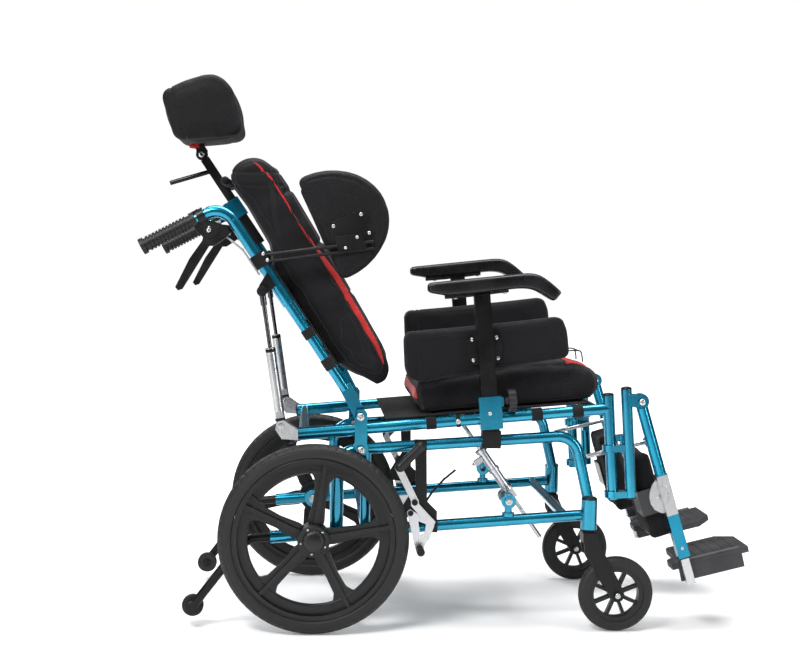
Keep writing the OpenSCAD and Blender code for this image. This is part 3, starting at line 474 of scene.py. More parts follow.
class Part:
    """Collects the geometry of one piece, with a material number for each face."""

    def __init__(self):
        self.v, self.f, self.m = [], [], []

    def add(self, verts, faces, mat=0):
        k = len(self.v)
        self.v += [tuple(p) for p in verts]
        self.f += [tuple(i + k for i in f) for f in faces]
        self.m += [mat] * len(faces)
        return self

    def rings(self, rings, mat=0, closed=False, caps=True):
        """Joins rings of equally many points; ends are closed with fans."""
        n = len(rings[0])
        verts = [p for r in rings for p in r]
        faces = []
        k = len(rings)
        for i in range(k if closed else k - 1):
            a, b = i * n, ((i + 1) % k) * n
            faces += [(a + j, a + (j + 1) % n, b + (j + 1) % n, b + j) for j in range(n)]
        if caps and not closed:
            for r, flip in ((0, True), (k - 1, False)):
                c = len(verts)
                verts.append(sum((Vector(p) for p in rings[r]), Vector()) / n)
                for j in range(n):
                    t = (r * n + j, r * n + (j + 1) % n, c)
                    faces.append(t[::-1] if flip else t)
        return self.add(verts, faces, mat)

    def lathe(self, origin, axis, profile, n=32, mat=0, wave=None, closed=False):
        """profile is [(radius, height)] in millimetres along axis from origin. wave(i, a) scales the radius."""
        u, v, a = basis(axis)
        rings = []
        for i, (r, h) in enumerate(profile):
            ring = []
            for j in range(n):
                t = 2 * math.pi * j / n
                q = max(r, 0.01) * (wave(i, t) if wave else 1.0) / 1000.0
                ring.append(origin + u * (q * math.cos(t)) + v * (q * math.sin(t)) + a * (h / 1000.0))
            rings.append(ring)
        return self.rings(rings, mat, closed=closed, caps=not closed)

    def tube(self, pts, r, n=10, mat=0, closed=False, flat=None, up=None):
        """A tube of radius r mm along the points, or a band of half-size flat = (across, thick) mm."""
        pts = [Vector(p) for p in pts]
        k = len(pts)
        rings, u = [], None
        for i, p in enumerate(pts):
            a = pts[(i - 1) % k] if closed or i else p
            b = pts[(i + 1) % k] if closed or i < k - 1 else p
            t = (b - a).normalized()
            if up is not None:
                w = up[i] if isinstance(up, list) else up
                u = (Vector(w) - t * t.dot(Vector(w))).normalized()
            elif u is None:
                u = basis(t)[0]
            else:
                u = (u - t * t.dot(u)).normalized()
            v = t.cross(u)
            ring = []
            if flat:
                hw, ht = flat[0] / 1000.0, flat[1] / 1000.0
                e = min(hw, ht) * 0.7
                for x, y in ((hw - e, ht), (hw, ht - e), (hw, -ht + e), (hw - e, -ht), (-hw + e, -ht), (-hw, -ht + e), (-hw, ht - e), (-hw + e, ht)):
                    ring.append(p + v * x + u * y)
            else:
                rr = (r[i] if isinstance(r, list) else r) / 1000.0
                for j in range(n):
                    q = 2 * math.pi * j / n
                    ring.append(p + u * (rr * math.cos(q)) + v * (rr * math.sin(q)))
            rings.append(ring)
        return self.rings(rings, mat, closed=closed)

    def prism(self, pts, off, mat=0):
        """A flat outline, in order, given its thickness by the vector off."""
        n = len(pts)
        a = [Vector(p) for p in pts]
        b = [p + off for p in a]
        faces = [(j, (j + 1) % n, n + (j + 1) % n, n + j) for j in range(n)]
        faces += [tuple(range(n))[::-1], tuple(range(n, 2 * n))]
        return self.add(a + b, faces, mat)

    def block(self, c, u, v, w, size, mat=0):
        """A box about c with half sizes in millimetres along the unit vectors u, v and w."""
        u, v, w = (Vector(x).normalized() * (s / 1000.0) for x, s in zip((u, v, w), size))
        p = [c + u * a + v * b + w * d for a in (-1, 1) for b in (-1, 1) for d in (-1, 1)]
        return self.add(p, [(0, 1, 3, 2), (4, 6, 7, 5), (0, 4, 5, 1), (2, 3, 7, 6), (0, 2, 6, 4), (1, 5, 7, 3)], mat)

    def button(self, p, axis, r, h, mat=0, socket=True):
        """A button-head bolt with a hex socket, r and h in millimetres."""
        prof = [(0, -0.6), (r, -0.6), (r, h * 0.25), (r * 0.93, h * 0.55), (r * 0.75, h * 0.85), (r * 0.5, h)]
        self.lathe(p, axis, prof + ([(r * 0.42, h), (r * 0.40, h * 0.45), (0, h * 0.4)] if socket else [(0, h * 1.02)]), 18, mat)
        return self

    def hexnut(self, p, axis, r, h, mat=0):
        u, v, a = basis(axis)
        rings = []
        for q, z in ((0.9, 0), (1.0, h * 0.12), (1.0, h * 0.88), (0.88, h), (0.55, h), (0.5, h * 0.7)):
            rings.append([p + (u * math.cos(math.pi * j / 3) + v * math.sin(math.pi * j / 3)) * (r * q / 1000.0) + a * (z / 1000.0) for j in range(6)])
        return self.rings(rings, mat)

    def stitches(self, pts, length=3.2, gap=1.6, r=0.42, mat=0, normals=None, lift=0.0):
        """Short thread stitches along a line."""
        step = (length + gap) / 1000.0
        q = spaced(pts, step / 2)
        for a, b in zip(q[0::2], q[1::2]):
            t = (b - a).normalized() * (length / 2000.0)
            c = (a + b) / 2
            self.tube([c - t, c - t * 0.8, c + t * 0.8, c + t], [r * 0.35, r, r, r * 0.35], 5, mat)
        return self

    def make(self, name, mats, body=None, smooth=40, bevel=0.0, segments=2, subd=0, slot=None, replaces=()):
        me = bpy.data.meshes.new(name)
        me.from_pydata(self.v, [], self.f)
        me.validate()
        for m in mats if isinstance(mats, (list, tuple)) else [mats]:
            me.materials.append(M[m])
        if len(me.polygons) == len(self.m):
            me.polygons.foreach_set("material_index", self.m)
        bm = bmesh.new()
        bm.from_mesh(me)
        bmesh.ops.recalc_face_normals(bm, faces=bm.faces)
        bm.to_mesh(me)
        bm.free()
        o = bpy.data.objects.new(name, me)
        SCENE.collection.objects.link(o)
        if bevel:
            b = o.modifiers.new("bevel", "BEVEL")
            b.width, b.segments, b.limit_method, b.angle_limit = bevel / 1000.0, segments, "ANGLE", math.radians(38)
        if subd:
            s = o.modifiers.new("subd", "SUBSURF")
            s.levels = s.render_levels = subd
        finish_smooth(o, smooth)
        if body:
            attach(o, body)
        if replaces:
            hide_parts(*replaces)
        return o


def finish_smooth(o, angle):
    """Smooth faces, split where two meet at more than angle degrees."""
    me = o.data
    me.polygons.foreach_set("use_smooth", [True] * len(me.polygons))
    try:
        me.set_sharp_from_angle(angle=math.radians(angle))
    except AttributeError:
        pass
    me.update()


def co_of(me):
    a = np.empty(len(me.vertices) * 3)
    me.vertices.foreach_get("co", a)
    return a.reshape(-1, 3)


def put_co(me, co):
    me.vertices.foreach_set("co", np.ascontiguousarray(co, dtype=np.float32).ravel())
    me.update()


def edges_of(me):
    a = np.empty(len(me.edges) * 2, dtype=np.int64)
    me.edges.foreach_get("vertices", a)
    return a.reshape(-1, 2)


def smoothed(co, ed, times, lam=0.5, weight=None):
    n = len(co)
    deg = np.maximum(np.bincount(ed.ravel(), minlength=n), 1)[:, None]
    for _ in range(times):
        s = np.empty_like(co)
        for k in range(3):
            s[:, k] = np.bincount(ed[:, 0], weights=co[ed[:, 1], k], minlength=n) + np.bincount(ed[:, 1], weights=co[ed[:, 0], k], minlength=n)
        step = lam * (s / deg - co)
        co = co + (step if weight is None else step * weight[:, None])
    return co


def normals_of(me, co=None):
    if co is not None:
        put_co(me, co)
    a = np.empty(len(me.vertices) * 3)
    me.vertex_normals.foreach_get("vector", a)
    return a.reshape(-1, 3)


def applied(o):
    """o's mesh with its modifiers applied; the modifiers are gone."""
    bpy.context.view_layer.update()
    dg = bpy.context.evaluated_depsgraph_get()
    me = bpy.data.meshes.new_from_object(o.evaluated_get(dg))
    o.modifiers.clear()
    old = o.data
    o.data = me
    bpy.data.meshes.remove(old)
    return me


def solid(name, outline, y0, y1):
    """A closed prism of side-view points (mm) between two y planes (mm), as an object."""
    p = Part()
    p.prism([W(q, y0) for q in outline], Vector((0, (y1 - y0) / 1000.0, 0)))
    me = bpy.data.meshes.new(name)
    me.from_pydata(p.v, [], p.f)
    bm = bmesh.new()
    bm.from_mesh(me)
    bmesh.ops.triangulate(bm, faces=bm.faces)
    bmesh.ops.recalc_face_normals(bm, faces=bm.faces)
    bm.to_mesh(me)
    bm.free()
    o = bpy.data.objects.new(name, me)
    SCENE.collection.objects.link(o)
    return o


def union(name, objs):
    """Several closed solids as one object; the voxel remesh merges them."""
    bm = bmesh.new()
    for o in objs:
        bm.from_mesh(o.data)
    me = bpy.data.meshes.new(name)
    bm.to_mesh(me)
    bm.free()
    for o in objs:
        bpy.data.objects.remove(o)
    o = bpy.data.objects.new(name, me)
    SCENE.collection.objects.link(o)
    return o


class Pad:
    """A stuffed piece. It starts as its CAD solid, is remeshed, rounded and shrunk a little, is blown up by
    the cloth solver, and is kept within `over` mm of the solid."""

    def __init__(self, o, voxel=5.0, rounding=20, inset=5.0, cap=12.0, over=2.5, pressure=4.0, fill=0.6, rest=None, slack=1.6):
        self.o, self.cap, self.over, self.fill, self.slack = o, cap, over, fill, slack
        bm = bmesh.new()
        bm.from_mesh(o.data)
        self.tree = BVHTree.FromBMesh(bm)
        bm.free()
        r = o.modifiers.new("remesh", "REMESH")
        r.mode, r.voxel_size, r.use_smooth_shade = "VOXEL", voxel / 1000.0, True
        me = applied(o)
        self.ed = edges_of(me)
        co = smoothed(co_of(me), self.ed, rounding)
        nrm = normals_of(me, co)
        co = co - nrm * (inset / 1000.0)
        co = smoothed(co, self.ed, 4)
        if rest is not None:
            co = rest(co)
        put_co(me, co)
        self.start = co.copy()
        self.rest = rest
        self.pressure = pressure
        c = o.modifiers.new("cloth", "CLOTH")
        s = c.settings
        s.quality = 4
        s.mass = 0.2
        s.tension_stiffness = s.compression_stiffness = 18
        s.shear_stiffness = 6
        s.bending_stiffness = 0.6
        s.use_pressure = True
        s.uniform_pressure_force = pressure
        s.effector_weights.gravity = 0
        c.collision_settings.use_collision = False
        c.point_cache.frame_start, c.point_cache.frame_end = 1, 20

    def settle(self):
        """Reads the swollen shape, limits how far each point has moved, and keeps it in its place."""
        o = self.o
        me = applied(o)
        co = co_of(me)
        move = co - self.start
        d = np.linalg.norm(move, axis=1)
        lim = self.cap / 1000.0
        # a soft limit, so that the cap leaves no plateau
        k = np.where(d > 1e-9, lim * np.tanh(d / lim) / np.maximum(d, 1e-9), 1.0)
        co = self.start + move * k[:, None]
        co = smoothed(co, self.ed, 2)
        co = self.kept(co)
        co = smoothed(co, self.ed, 3)
        co = self.kept(self.filled(co))
        co = smoothed(co, self.ed, 3)
        if self.rest is not None:
            co = self.rest(co)
        put_co(me, co)
        s = o.modifiers.new("subd", "SUBSURF")
        s.levels = s.render_levels = 1
        me = applied(o)
        me.polygons.foreach_set("use_smooth", [True] * len(me.polygons))
        return o

    def filled(self, co):
        """Eases points that sank deeper than `slack` mm back towards the face they belong to."""
        slack = self.slack / 1000.0
        out = co.copy()
        for i, p in enumerate(co):
            p = Vector(p)
            hit, n, _, d = self.tree.find_nearest(p)
            if hit is not None and d > slack and (p - hit).dot(n) < 0:
                out[i] = p + (hit - p) * (0.85 * (1 - slack / d))
        return out

    def kept(self, co):
        over = self.over / 1000.0
        out = co.copy()
        for i, p in enumerate(co):
            hit, n, _, d = self.tree.find_nearest(p)
            if hit is None:
                continue
            s = (Vector(p) - hit).dot(n)
            if s > over:
                q = hit + (Vector(p) - hit) * (over / max(d, 1e-9))
                out[i] = q
        return out


def shape(o, fn):
    """Moves the vertices of a finished pad: fn(co, normals) gives the new points."""
    me = o.data
    co = co_of(me)
    put_co(me, fn(co, normals_of(me)))


def groove(co, nrm, dist, width, depth, mask=None):
    """A sewn channel: pulls the surface in by depth mm where dist (mm) is under about width mm."""
    w = np.exp(-((dist / width) ** 2))
    if mask is not None:
        w = w * mask
    return co - nrm * (w * depth / 1000.0)[:, None]


def cut_loop(o, point, normal, keep=None):
    """The lines where a plane cuts the surface, as lists of ordered points, longest first."""
    bm = bmesh.new()
    bm.from_mesh(o.data)
    r = bmesh.ops.bisect_plane(bm, geom=bm.verts[:] + bm.edges[:] + bm.faces[:], plane_co=point, plane_no=normal, dist=1e-7)
    es = [e for e in r["geom_cut"] if isinstance(e, bmesh.types.BMEdge)]
    if keep is not None:
        es = [e for e in es if keep((e.verts[0].co + e.verts[1].co) / 2)]
    mine, seen, lines = set(es), set(), []
    for e in es:
        if e in seen:
            continue
        chain = [e.verts[0], e.verts[1]]
        seen.add(e)
        for end in (1, 0):
            while True:
                tip = chain[-1] if end else chain[0]
                nxt = [x for x in tip.link_edges if x in mine and x not in seen]
                if not nxt:
                    break
                seen.add(nxt[0])
                v = nxt[0].other_vert(tip)
                if end:
                    chain.append(v)
                else:
                    chain.insert(0, v)
        if len(chain) > 3:
            lines.append([v.co.copy() for v in chain])
    bm.free()
    lines.sort(key=len, reverse=True)
    return lines


def slice_at(o, point, normal):
    """Cuts the faces along a plane, so that a colour border can follow it."""
    bm = bmesh.new()
    bm.from_mesh(o.data)
    bmesh.ops.bisect_plane(bm, geom=bm.verts[:] + bm.edges[:] + bm.faces[:], plane_co=point, plane_no=normal, dist=1e-6)
    bm.to_mesh(o.data)
    bm.free()
    o.data.polygons.foreach_set("use_smooth", [True] * len(o.data.polygons))


def evened(pts, step, closed, times=3):
    """The line respaced and smoothed a little."""
    q = spaced(pts, step, closed)
    n = len(q)
    for _ in range(times):
        q = [(q[(i - 1) % n] + q[i] * 2 + q[(i + 1) % n]) / 4 if closed or 0 < i < n - 1 else q[i] for i in range(n)]
    return q


def on_surface(o, pts, lift=0.0):
    """The points moved to the nearest place on o's surface, lift mm above it."""
    bm = bmesh.new()
    bm.from_mesh(o.data)
    tree = BVHTree.FromBMesh(bm)
    bm.free()
    out = []
    for p in pts:
        hit, n, _, _ = tree.find_nearest(p)
        out.append(hit + n * (lift / 1000.0))
    return out


def ribbon(part, o, line, half, mat=0, lift=0.9, up=None):
    """A flat band of cloth that follows o's surface along a line; half(i) is half its width in mm."""
    bm = bmesh.new()
    bm.from_mesh(o.data)
    tree = BVHTree.FromBMesh(bm)
    bm.free()
    n = len(line)
    nrm = []
    for p in line:
        nrm.append(tree.find_nearest(p)[1].copy())
    for _ in range(6):
        nrm = [(nrm[max(i - 1, 0)] + nrm[i] * 2 + nrm[min(i + 1, n - 1)]).normalized() for i in range(n)]
    rings = []
    for i, p in enumerate(line):
        t = (line[min(i + 1, n - 1)] - line[max(i - 1, 0)]).normalized()
        b = nrm[i].cross(t).normalized()
        top, low = [], []
        for k in (-1.0, -0.5, 0.0, 0.5, 1.0):
            q = p + b * (half(i) * k / 1000.0)
            hit, m, _, _ = tree.find_nearest(q)
            edge = 0.35 if abs(k) == 1 else 1.0
            top.append(hit + m * (lift * edge / 1000.0))
            low.append(hit - m * 0.0008)
        rings.append(top + low[::-1])
    part.rings(rings, mat=mat)


def paint(o, mat_names, chooser):
    """Gives each face the material number that chooser(centres) says."""
    me = o.data
    me.materials.clear()
    for m in mat_names:
        me.materials.append(M[m])
    c = np.empty(len(me.polygons) * 3)
    me.polygons.foreach_get("center", c)
    idx = chooser(c.reshape(-1, 3)).astype(np.int32)
    me.polygons.foreach_set("material_index", idx)
    me.update()


def mm(co):
    """Row-frame metres to the side-view millimetres x, y, z."""
    return co[:, 0] * 1000.0 + XM, co[:, 1] * 1000.0, co[:, 2] * 1000.0


def cane_uv(x, z):
    """Side-view points as distance along and out from the back canes."""
    dx, dz = x + 90.0, z - 738.0
    return -0.565 * dx + 0.825 * dz, 0.825 * dx + 0.565 * dz


def mirrored(o, name, shift=(0, 0, 0)):
    """o's mirror image on the left side, moved by shift in millimetres."""
    me = o.data.copy()
    co = co_of(me)
    co[:, 1] *= -1
    co += np.array(shift) / 1000.0
    put_co(me, co)
    me.flip_normals()
    me.name = name
    q = bpy.data.objects.new(name, me)
    SCENE.collection.objects.link(q)
    for a in o.modifiers:
        if a.type == "BEVEL":
            b = q.modifiers.new("bevel", "BEVEL")
            b.width, b.segments, b.limit_method, b.angle_limit = a.width, a.segments, a.limit_method, a.angle_limit
    return q


# ---------------------------------------------------------------- carried-over CAD nodes
def node_mat(name, *mats):
    o = N[name]
    o.data.materials.clear()
    for m in mats:
        o.data.materials.append(M[m])
    return o


def node_paint(name, mats, chooser):
    """Material numbers for a CAD node's faces from their centres in millimetres."""
    o = node_mat(name, *mats)
    c = np.empty(len(o.data.polygons) * 3)
    o.data.polygons.foreach_get("center", c)
    x, y, z = mm(c.reshape(-1, 3))
    o.data.polygons.foreach_set("material_index", chooser(x, y, z).astype(np.int32))


node_mat("base_frame", "blue")
node_mat("axle_bolts", "zinc")
node_mat("brake_mounts", "black")
node_mat("lock_cable", "cable")
node_paint("seat_frame", ("blue", "zinc", "black"),
           lambda x, y, z: np.where((x < -30) & (np.abs(y) > 229) & (z < 452), 1, np.where((np.abs(y) < 190) & (z < 462) & (x > 298) & (x < 341) & (np.abs(y) > 155) & (np.hypot(x - 338, z - 454) > 11.4), 1, 0)))
node_mat("back_frame", "blue")
node_mat("hand_grips", "grip")
node_mat("cane_brackets", "black")
node_mat("recline_cables", "cable_grey")
node_mat("headrest_stem", "black")
node_mat("headrest_lever", "black_gloss")
node_mat("gas_cylinders", "zinc")
node_mat("gas_rods", "dark_steel")
node_mat("lock_housing", "steel")
node_mat("lock_rod", "steel")
for s, sg in SIDES:
    node_mat(f"wheel_{s}", "wheel")
    node_mat(f"caster_fork_{s}", "black")
    node_paint(f"caster_wheel_{s}", ("wheel", "caster_tyre"), lambda x, y, z: np.where(np.hypot(x - 653, z - 81) > 60.3, 1, 0))
    node_mat(f"anti_tip_{s}", "black")
    node_mat(f"anti_tip_wheel_{s}", "caster_tyre")
    node_paint(f"brake_lever_{s}", ("zinc", "grip"), lambda x, y, z: np.where((np.abs(y) > 262) & (z > 346), 1, 0))
    node_paint(f"brake_shoe_{s}", ("zinc", "black"), lambda x, y, z: np.where(np.abs(y) > 258.2, 1, 0))
    node_mat(f"hanger_{s}", "blue")
    node_mat(f"leg_tube_{s}", "leg")
    node_mat(f"leg_strut_{s}", "steel")
    node_mat(f"leg_extension_{s}", "zinc")
    node_mat(f"footplate_{s}", "foot")
    node_mat(f"armrest_post_{s}", "black_gloss")
    node_mat(f"armrest_knob_{s}", "knob")
    node_mat(f"hand_lever_{s}", "black")
node_mat("seat_sling", "sling")
node_mat("back_sling", "sling")
for n in ("seat_cushion", "back_cushion", "headrest_pad", "lateral_pad_right", "lateral_pad_left", "thigh_pad_right", "thigh_pad_left", "calf_pad_right", "calf_pad_left"):
    node_mat(n, "plain_cloth")
for n in ("armrest_pad_right", "armrest_pad_left"):
    node_mat(n, "skin")
for n in ("tyre_right", "tyre_left"):
    node_mat(n, "tyre")


# ---------------------------------------------------------------- soft goods, first shapes
SEAT_LOW = [(216, rail(216) + 16), (594, rail(594) + 16), (620, 503), (627, 532), (607, 566), (470, 566), (223, 521), (207, 508)]
SEAT_HIGH = [(216, rail(216) + 18), (594, rail(594) + 18), (619, 505), (628, 533), (610, 572), (560, 575), (212, 560), (198, 552), (204, 508)]
BACK = [cane(*p) for p in ((38, 16), (72, 36), (169, 42), (242, 38), (257, 52), (264, 78), (257, 108), (240, 126), (208, 135), (127, 136),
                           (-63, 127), (-125, 123), (-238, 116), (-284, 109), (-300, 101), (-322, 66), (-225, 16))]
HEAD = [(-318, 1048), (-346, 1136), (-341, 1151), (-300, 1172), (-256, 1187), (-232, 1190), (-210, 1180), (-192, 1161), (-178, 1118),
        (-168, 1073), (-172, 1062), (-186, 1054), (-272, 1044), (-300, 1042)]
THIGH = [(187, 560), (183, 628), (192, 640), (214, 643), (516, 678), (530, 672), (540, 648), (546, 600), (540, 587), (224, 528), (196, 538)]
LAT_U, LAT_N = (-0.414, 0.910), (0.910, 0.414)
LATERAL = []
for i in range(19):
    a = math.radians(-90 + 10 * i)
    p, q = -7.5 + 119 * math.sin(a), 5 + 140 * math.cos(a)
    LATERAL.append((8.7 + LAT_U[0] * p + LAT_N[0] * q, 863 + LAT_U[1] * p + LAT_N[1] * q))
for p, q in ((109, -6), (101, -12), (-116, -12), (-124, -6)):
    LATERAL.append((8.7 + LAT_U[0] * p + LAT_N[0] * q, 863 + LAT_U[1] * p + LAT_N[1] * q))


def seat_rest(co):
    x, y, z = mm(co)
    co = co.copy()
    floor = (rail(x) + 16.6) / 1000.0
    co[:, 2] = np.maximum(co[:, 2], floor)
    top = z > 560
    lim = np.where(top, 186.5, 203.6) / 1000.0
    co[:, 1] = np.clip(co[:, 1], -lim, lim)
    return co


def back_rest(co):
    """The lower rear of the back cushion lies flat on its sling."""
    x, y, z = mm(co)
    u, n = cane_uv(x, z)
    co = co.copy()
    push = np.where((u < 40), np.maximum(0, 16.8 - n), 0) / 1000.0
    co[:, 0] += 0.825 * push
    co[:, 2] += 0.565 * push
    return co


pads = {
    "seat": Pad(union("seat_cushion_cover", [solid("a", SEAT_LOW, -204, 204), solid("b", SEAT_HIGH, -187, 187)]), 6, 8, 4, 17, 2.5, 13, 0.55, seat_rest, 1.0),
    "back": Pad(solid("back_cushion_cover", BACK, -186, 186), 6, 8, 4, 18, 3, 13, 0.5, back_rest),
    "head": Pad(solid("headrest_cover", HEAD, -112, 112), 5, 9, 3, 16, 2.5, 14, 0.75, slack=0.8),
    "thigh": Pad(solid("thigh_pad_cover_right", THIGH, AY + 15, AY + 54), 4, 8, 2.0, 8, 0.8, 10, 0.8),
    "lat": Pad(solid("lateral_cover_right", LATERAL, -CY + 2, -CY + 33), 4, 7, 1.6, 7, 0.8, 8, 0.75, slack=0.7),
}
_c = [lean(E, LEG_A, HY, p) for p in ((-53, 18, -304), (-7, 18, -304), (-7, 18, -114), (-53, 18, -114))]
_p = Part().prism(_c, Vector((0, 0.128, 0)))
_me = bpy.data.meshes.new("calf_pad_cover_right")
_me.from_pydata(_p.v, [], _p.f)
_o = bpy.data.objects.new("calf_pad_cover_right", _me)
SCENE.collection.objects.link(_o)
_b = bmesh.new()
_b.from_mesh(_me)
bmesh.ops.recalc_face_normals(_b, faces=_b.faces)
_b.to_mesh(_me)
_b.free()
pads["calf"] = Pad(_o, 4, 9, 3, 8, 0.8, 10, 0.7)

for f in range(1, 21):
    SCENE.frame_set(f)
for k in pads:
    pads[k].settle()
SCENE.frame_set(1)


# ---------------------------------------------------------------- seat cushion
seat = pads["seat"].o


def seat_shape(co, n):
    x, y, z = mm(co)
    upness = np.clip(n[:, 2], 0, 1)
    # sitting hollow
    hollow = np.exp(-(((x - 370) / 120) ** 2 + (y / 120) ** 2)) * upness
    co = co - np.array([0, 0, 1.0]) * (hollow * 4.0 / 1000.0)[:, None]
    # the box side is drawn in beside the armrest post, with soft folds running off it
    side_on = np.clip(np.abs(n[:, 1]), 0, 1) * (np.abs(y) > 150)
    px = 366 - (z - 500) * 0.093
    pinch = np.exp(-(((x - px) / 17) ** 2)) * 6.0
    folds = 0.9 * np.sin((x - px) / 9.5 + 0.05 * (z - 520)) * np.exp(-((x - px) / 75) ** 2)
    sag = 1.6 * np.sin(x / 23.0 + 0.7) * np.sin(z / 15.0) + 0.9 * np.sin(x / 11.0 + z / 19.0)
    co = co - n * ((side_on * (pinch + folds + 0.6 * sag)) / 1000.0)[:, None]
    # wrinkles of the loose cover over the top
    w = 0.7 * np.sin(x / 17.0 + np.sin(y / 41.0) * 2.2) * np.sin(y / 29.0 + 1.1) * upness
    return co + n * (w / 1000.0)[:, None]


shape(seat, seat_shape)
for px in (214.0, 541.0):
    slice_at(seat, V(px, 0, 540), Vector((1, 0, 0.18 if px < 300 else -0.1)))
for py in (-172.0, 172.0):
    slice_at(seat, V(0, py, 0), Vector((0, 1, 0)))


def seat_paint(c):
    x, y, z = mm(c)
    rear = ((x - 214.0) + 0.18 * (z - 540) < 0) & (z > 492)
    front = ((x - 541.0) - 0.1 * (z - 540) > 0) & (z > 556) & (np.abs(y) < 172)
    return np.where(rear | front, 1, 0)


paint(seat, ("seat_cloth", "red"), seat_paint)
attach(seat, "seat")
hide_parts("seat_cushion")

trim = Part()
for line in cut_loop(seat, V(214, 0, 540), Vector((1, 0, 0.18)), lambda p: p.z > 0.490):
    trim.tube(evened(line, 0.004, False), 1.7, 8)
for line in cut_loop(seat, V(541, 0, 540), Vector((1, 0, -0.1)), lambda p: p.z > 0.556 and abs(p.y) < 0.172):
    trim.tube(evened(line, 0.004, False), 1.7, 8)
# the seam round the box side of the cushion
for h in (7.0,):
    pt = V(138, 0, rail(138) + 16 + h)
    for line in cut_loop(seat, pt, Vector((-0.0933, 0, 1)).normalized())[:1]:
        trim.tube(evened(line, 0.005, True), 1.5, 8, closed=True)
trim.make("seat_cushion_piping", "piping", "seat", slot="black_cloth")

st = Part()
for off in (5.0, 8.5):
    for line in cut_loop(seat, V(214 + off, 0, 540), Vector((1, 0, 0.18)), lambda p: p.z > 0.50 and abs(p.y) < 0.2)[:2]:
        st.stitches(evened(line, 0.004, False), mat=0, r=0.4)
    for line in cut_loop(seat, V(541 - off, 0, 540), Vector((1, 0, -0.1)), lambda p: p.z > 0.56 and abs(p.y) < 0.2)[:2]:
        st.stitches(evened(line, 0.004, False), mat=0, r=0.4)
st.make("seat_cushion_stitching", "thread", "seat", slot="black_cloth")

# the thin black grab wire over the front of the cushion
wire = Part()
for y in (-40,):
    wire.tube(spline([V(546, y, 574), V(548, y, 583), V(553, y, 590), V(575, y, 591.5), V(597, y, 592), V(603, y, 588.5), V(606, y, 577), V(607, y, 566)], 6), 1.5, 8)
    wire.tube(spline([V(546, -y, 574), V(548, -y, 583), V(553, -y, 590), V(575, -y, 591.5), V(597, -y, 592), V(603, -y, 588.5), V(606, -y, 577), V(607, -y, 566)], 6), 1.5, 8)
    wire.tube([V(599, y, 591.4), V(599, -y, 591.4)], 1.5, 8)
wire.make("seat_front_loop", "black", "seat", slot="black_paint")


# ---------------------------------------------------------------- back cushion
back = pads["back"].o


def back_shape(co, n):
    x, y, z = mm(co)
    u, q = cane_uv(x, z)
    # two seams across the top cap
    for zz in (973.0, 945.0):
        co = groove(co, n, z - zz - 0.02 * (x + 150), 2.6, 2.4, ((u > 150) & (x < -75)).astype(float))
    # three sewn channels across the front face
    front = np.clip(n[:, 0] * 0.91 + n[:, 2] * 0.41, 0, 1)
    for uu in (150.0, 20.0, -110.0):
        co = groove(co, n, u - uu, 5.0, 5.0, front * (np.abs(y) < 175))
    # long wrinkles of the side panels
    side_on = np.clip(np.abs(n[:, 1]), 0, 1)
    w = 1.2 * np.sin(u / 31.0 + q / 14.0) * np.sin(u / 13.0 - q / 40.0) * side_on
    w += 0.8 * np.sin(u / 12.0) * np.exp(-((np.abs(y) - 186) / 30) ** 2)
    return co - n * (w / 1000.0)[:, None]


shape(back, back_shape)


def front_line(q):
    """Distance of the cushion's front face from the canes along u, less q."""
    def f(u):
        pts = [(-322, 66), (-300, 101), (-284, 109), (-238, 118), (-125, 123), (-63, 127), (127, 136), (208, 135), (240, 126), (257, 108), (264, 78)]
        return np.interp(u, [p[0] for p in pts], [p[1] for p in pts]) - q
    return f


paint(back, ("back_cloth",), lambda c: np.zeros(len(c)))
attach(back, "back")
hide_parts("back_cushion")

trim, redtrim, st = Part(), Part(), Part()
for s in (-1, 1):
    # piping where the side panel meets the front panel
    for line in cut_loop(back, V(0, 176 * s, 700), Vector((0, 1, 0)))[:1]:
        line = evened(line, 0.005, True)
        trim.tube(line, 1.7, 8, closed=True)
    for line in cut_loop(back, V(0, 181.5 * s, 700), Vector((0, 1, 0)))[:1]:
        seg = [p for p in evened(line, 0.005, True)]
        st.stitches(seg, r=0.38)
    # a dark webbing strap runs up the side panel to the stem
    a, b = cane(52, 46), cane(186, 112)
    pts = [V(a[0] + (b[0] - a[0]) * t, 186 * s, a[1] + (b[1] - a[1]) * t) for t in [i / 14 for i in range(15)]]
    pts = on_surface(back, pts, 1.2)
    trim.tube(pts, 0, flat=(7, 0.9), up=Vector((0, s, 0)), mat=1)
    # the red band along the front corner, wide below and narrow above
    mesh = [(cane_uv(v.co.x * 1000 + XM, v.co.z * 1000), v.co.y * 1000) for v in back.data.vertices]
    line = []
    for u in range(-276, 243, 6):
        near = [q for (uu, q), y in mesh if abs(uu - u) < 9 and s * y > 120]
        q = max(near) - float(np.interp(u, [-276, -240, -70, 40, 120, 242], [14, 7, 7, 24, 26, 22]))
        c = cane(u, q)
        line.append(V(c[0], 176 * s, c[1]))
    for _ in range(30):
        line = [line[0]] + [(line[i - 1] + line[i] * 2 + line[i + 1]) / 4 for i in range(1, len(line) - 1)] + [line[-1]]
    us = [cane_uv(p.x * 1000 + XM, p.z * 1000)[0] for p in line]
    ribbon(redtrim, back, line, lambda i: float(np.interp(us[i], [-278, -255, -200, -90, 10, 60, 180, 244], [1.5, 5, 8.5, 9.0, 5, 2.0, 1.8, 1.0])), up=s)
trim.make("back_cushion_piping", ("piping", "strap"), "back", slot="black_cloth")
redtrim.make("back_cushion_red_piping", "red", "back", slot="black_cloth")
st.make("back_cushion_stitching", "thread", "back", slot="black_cloth")
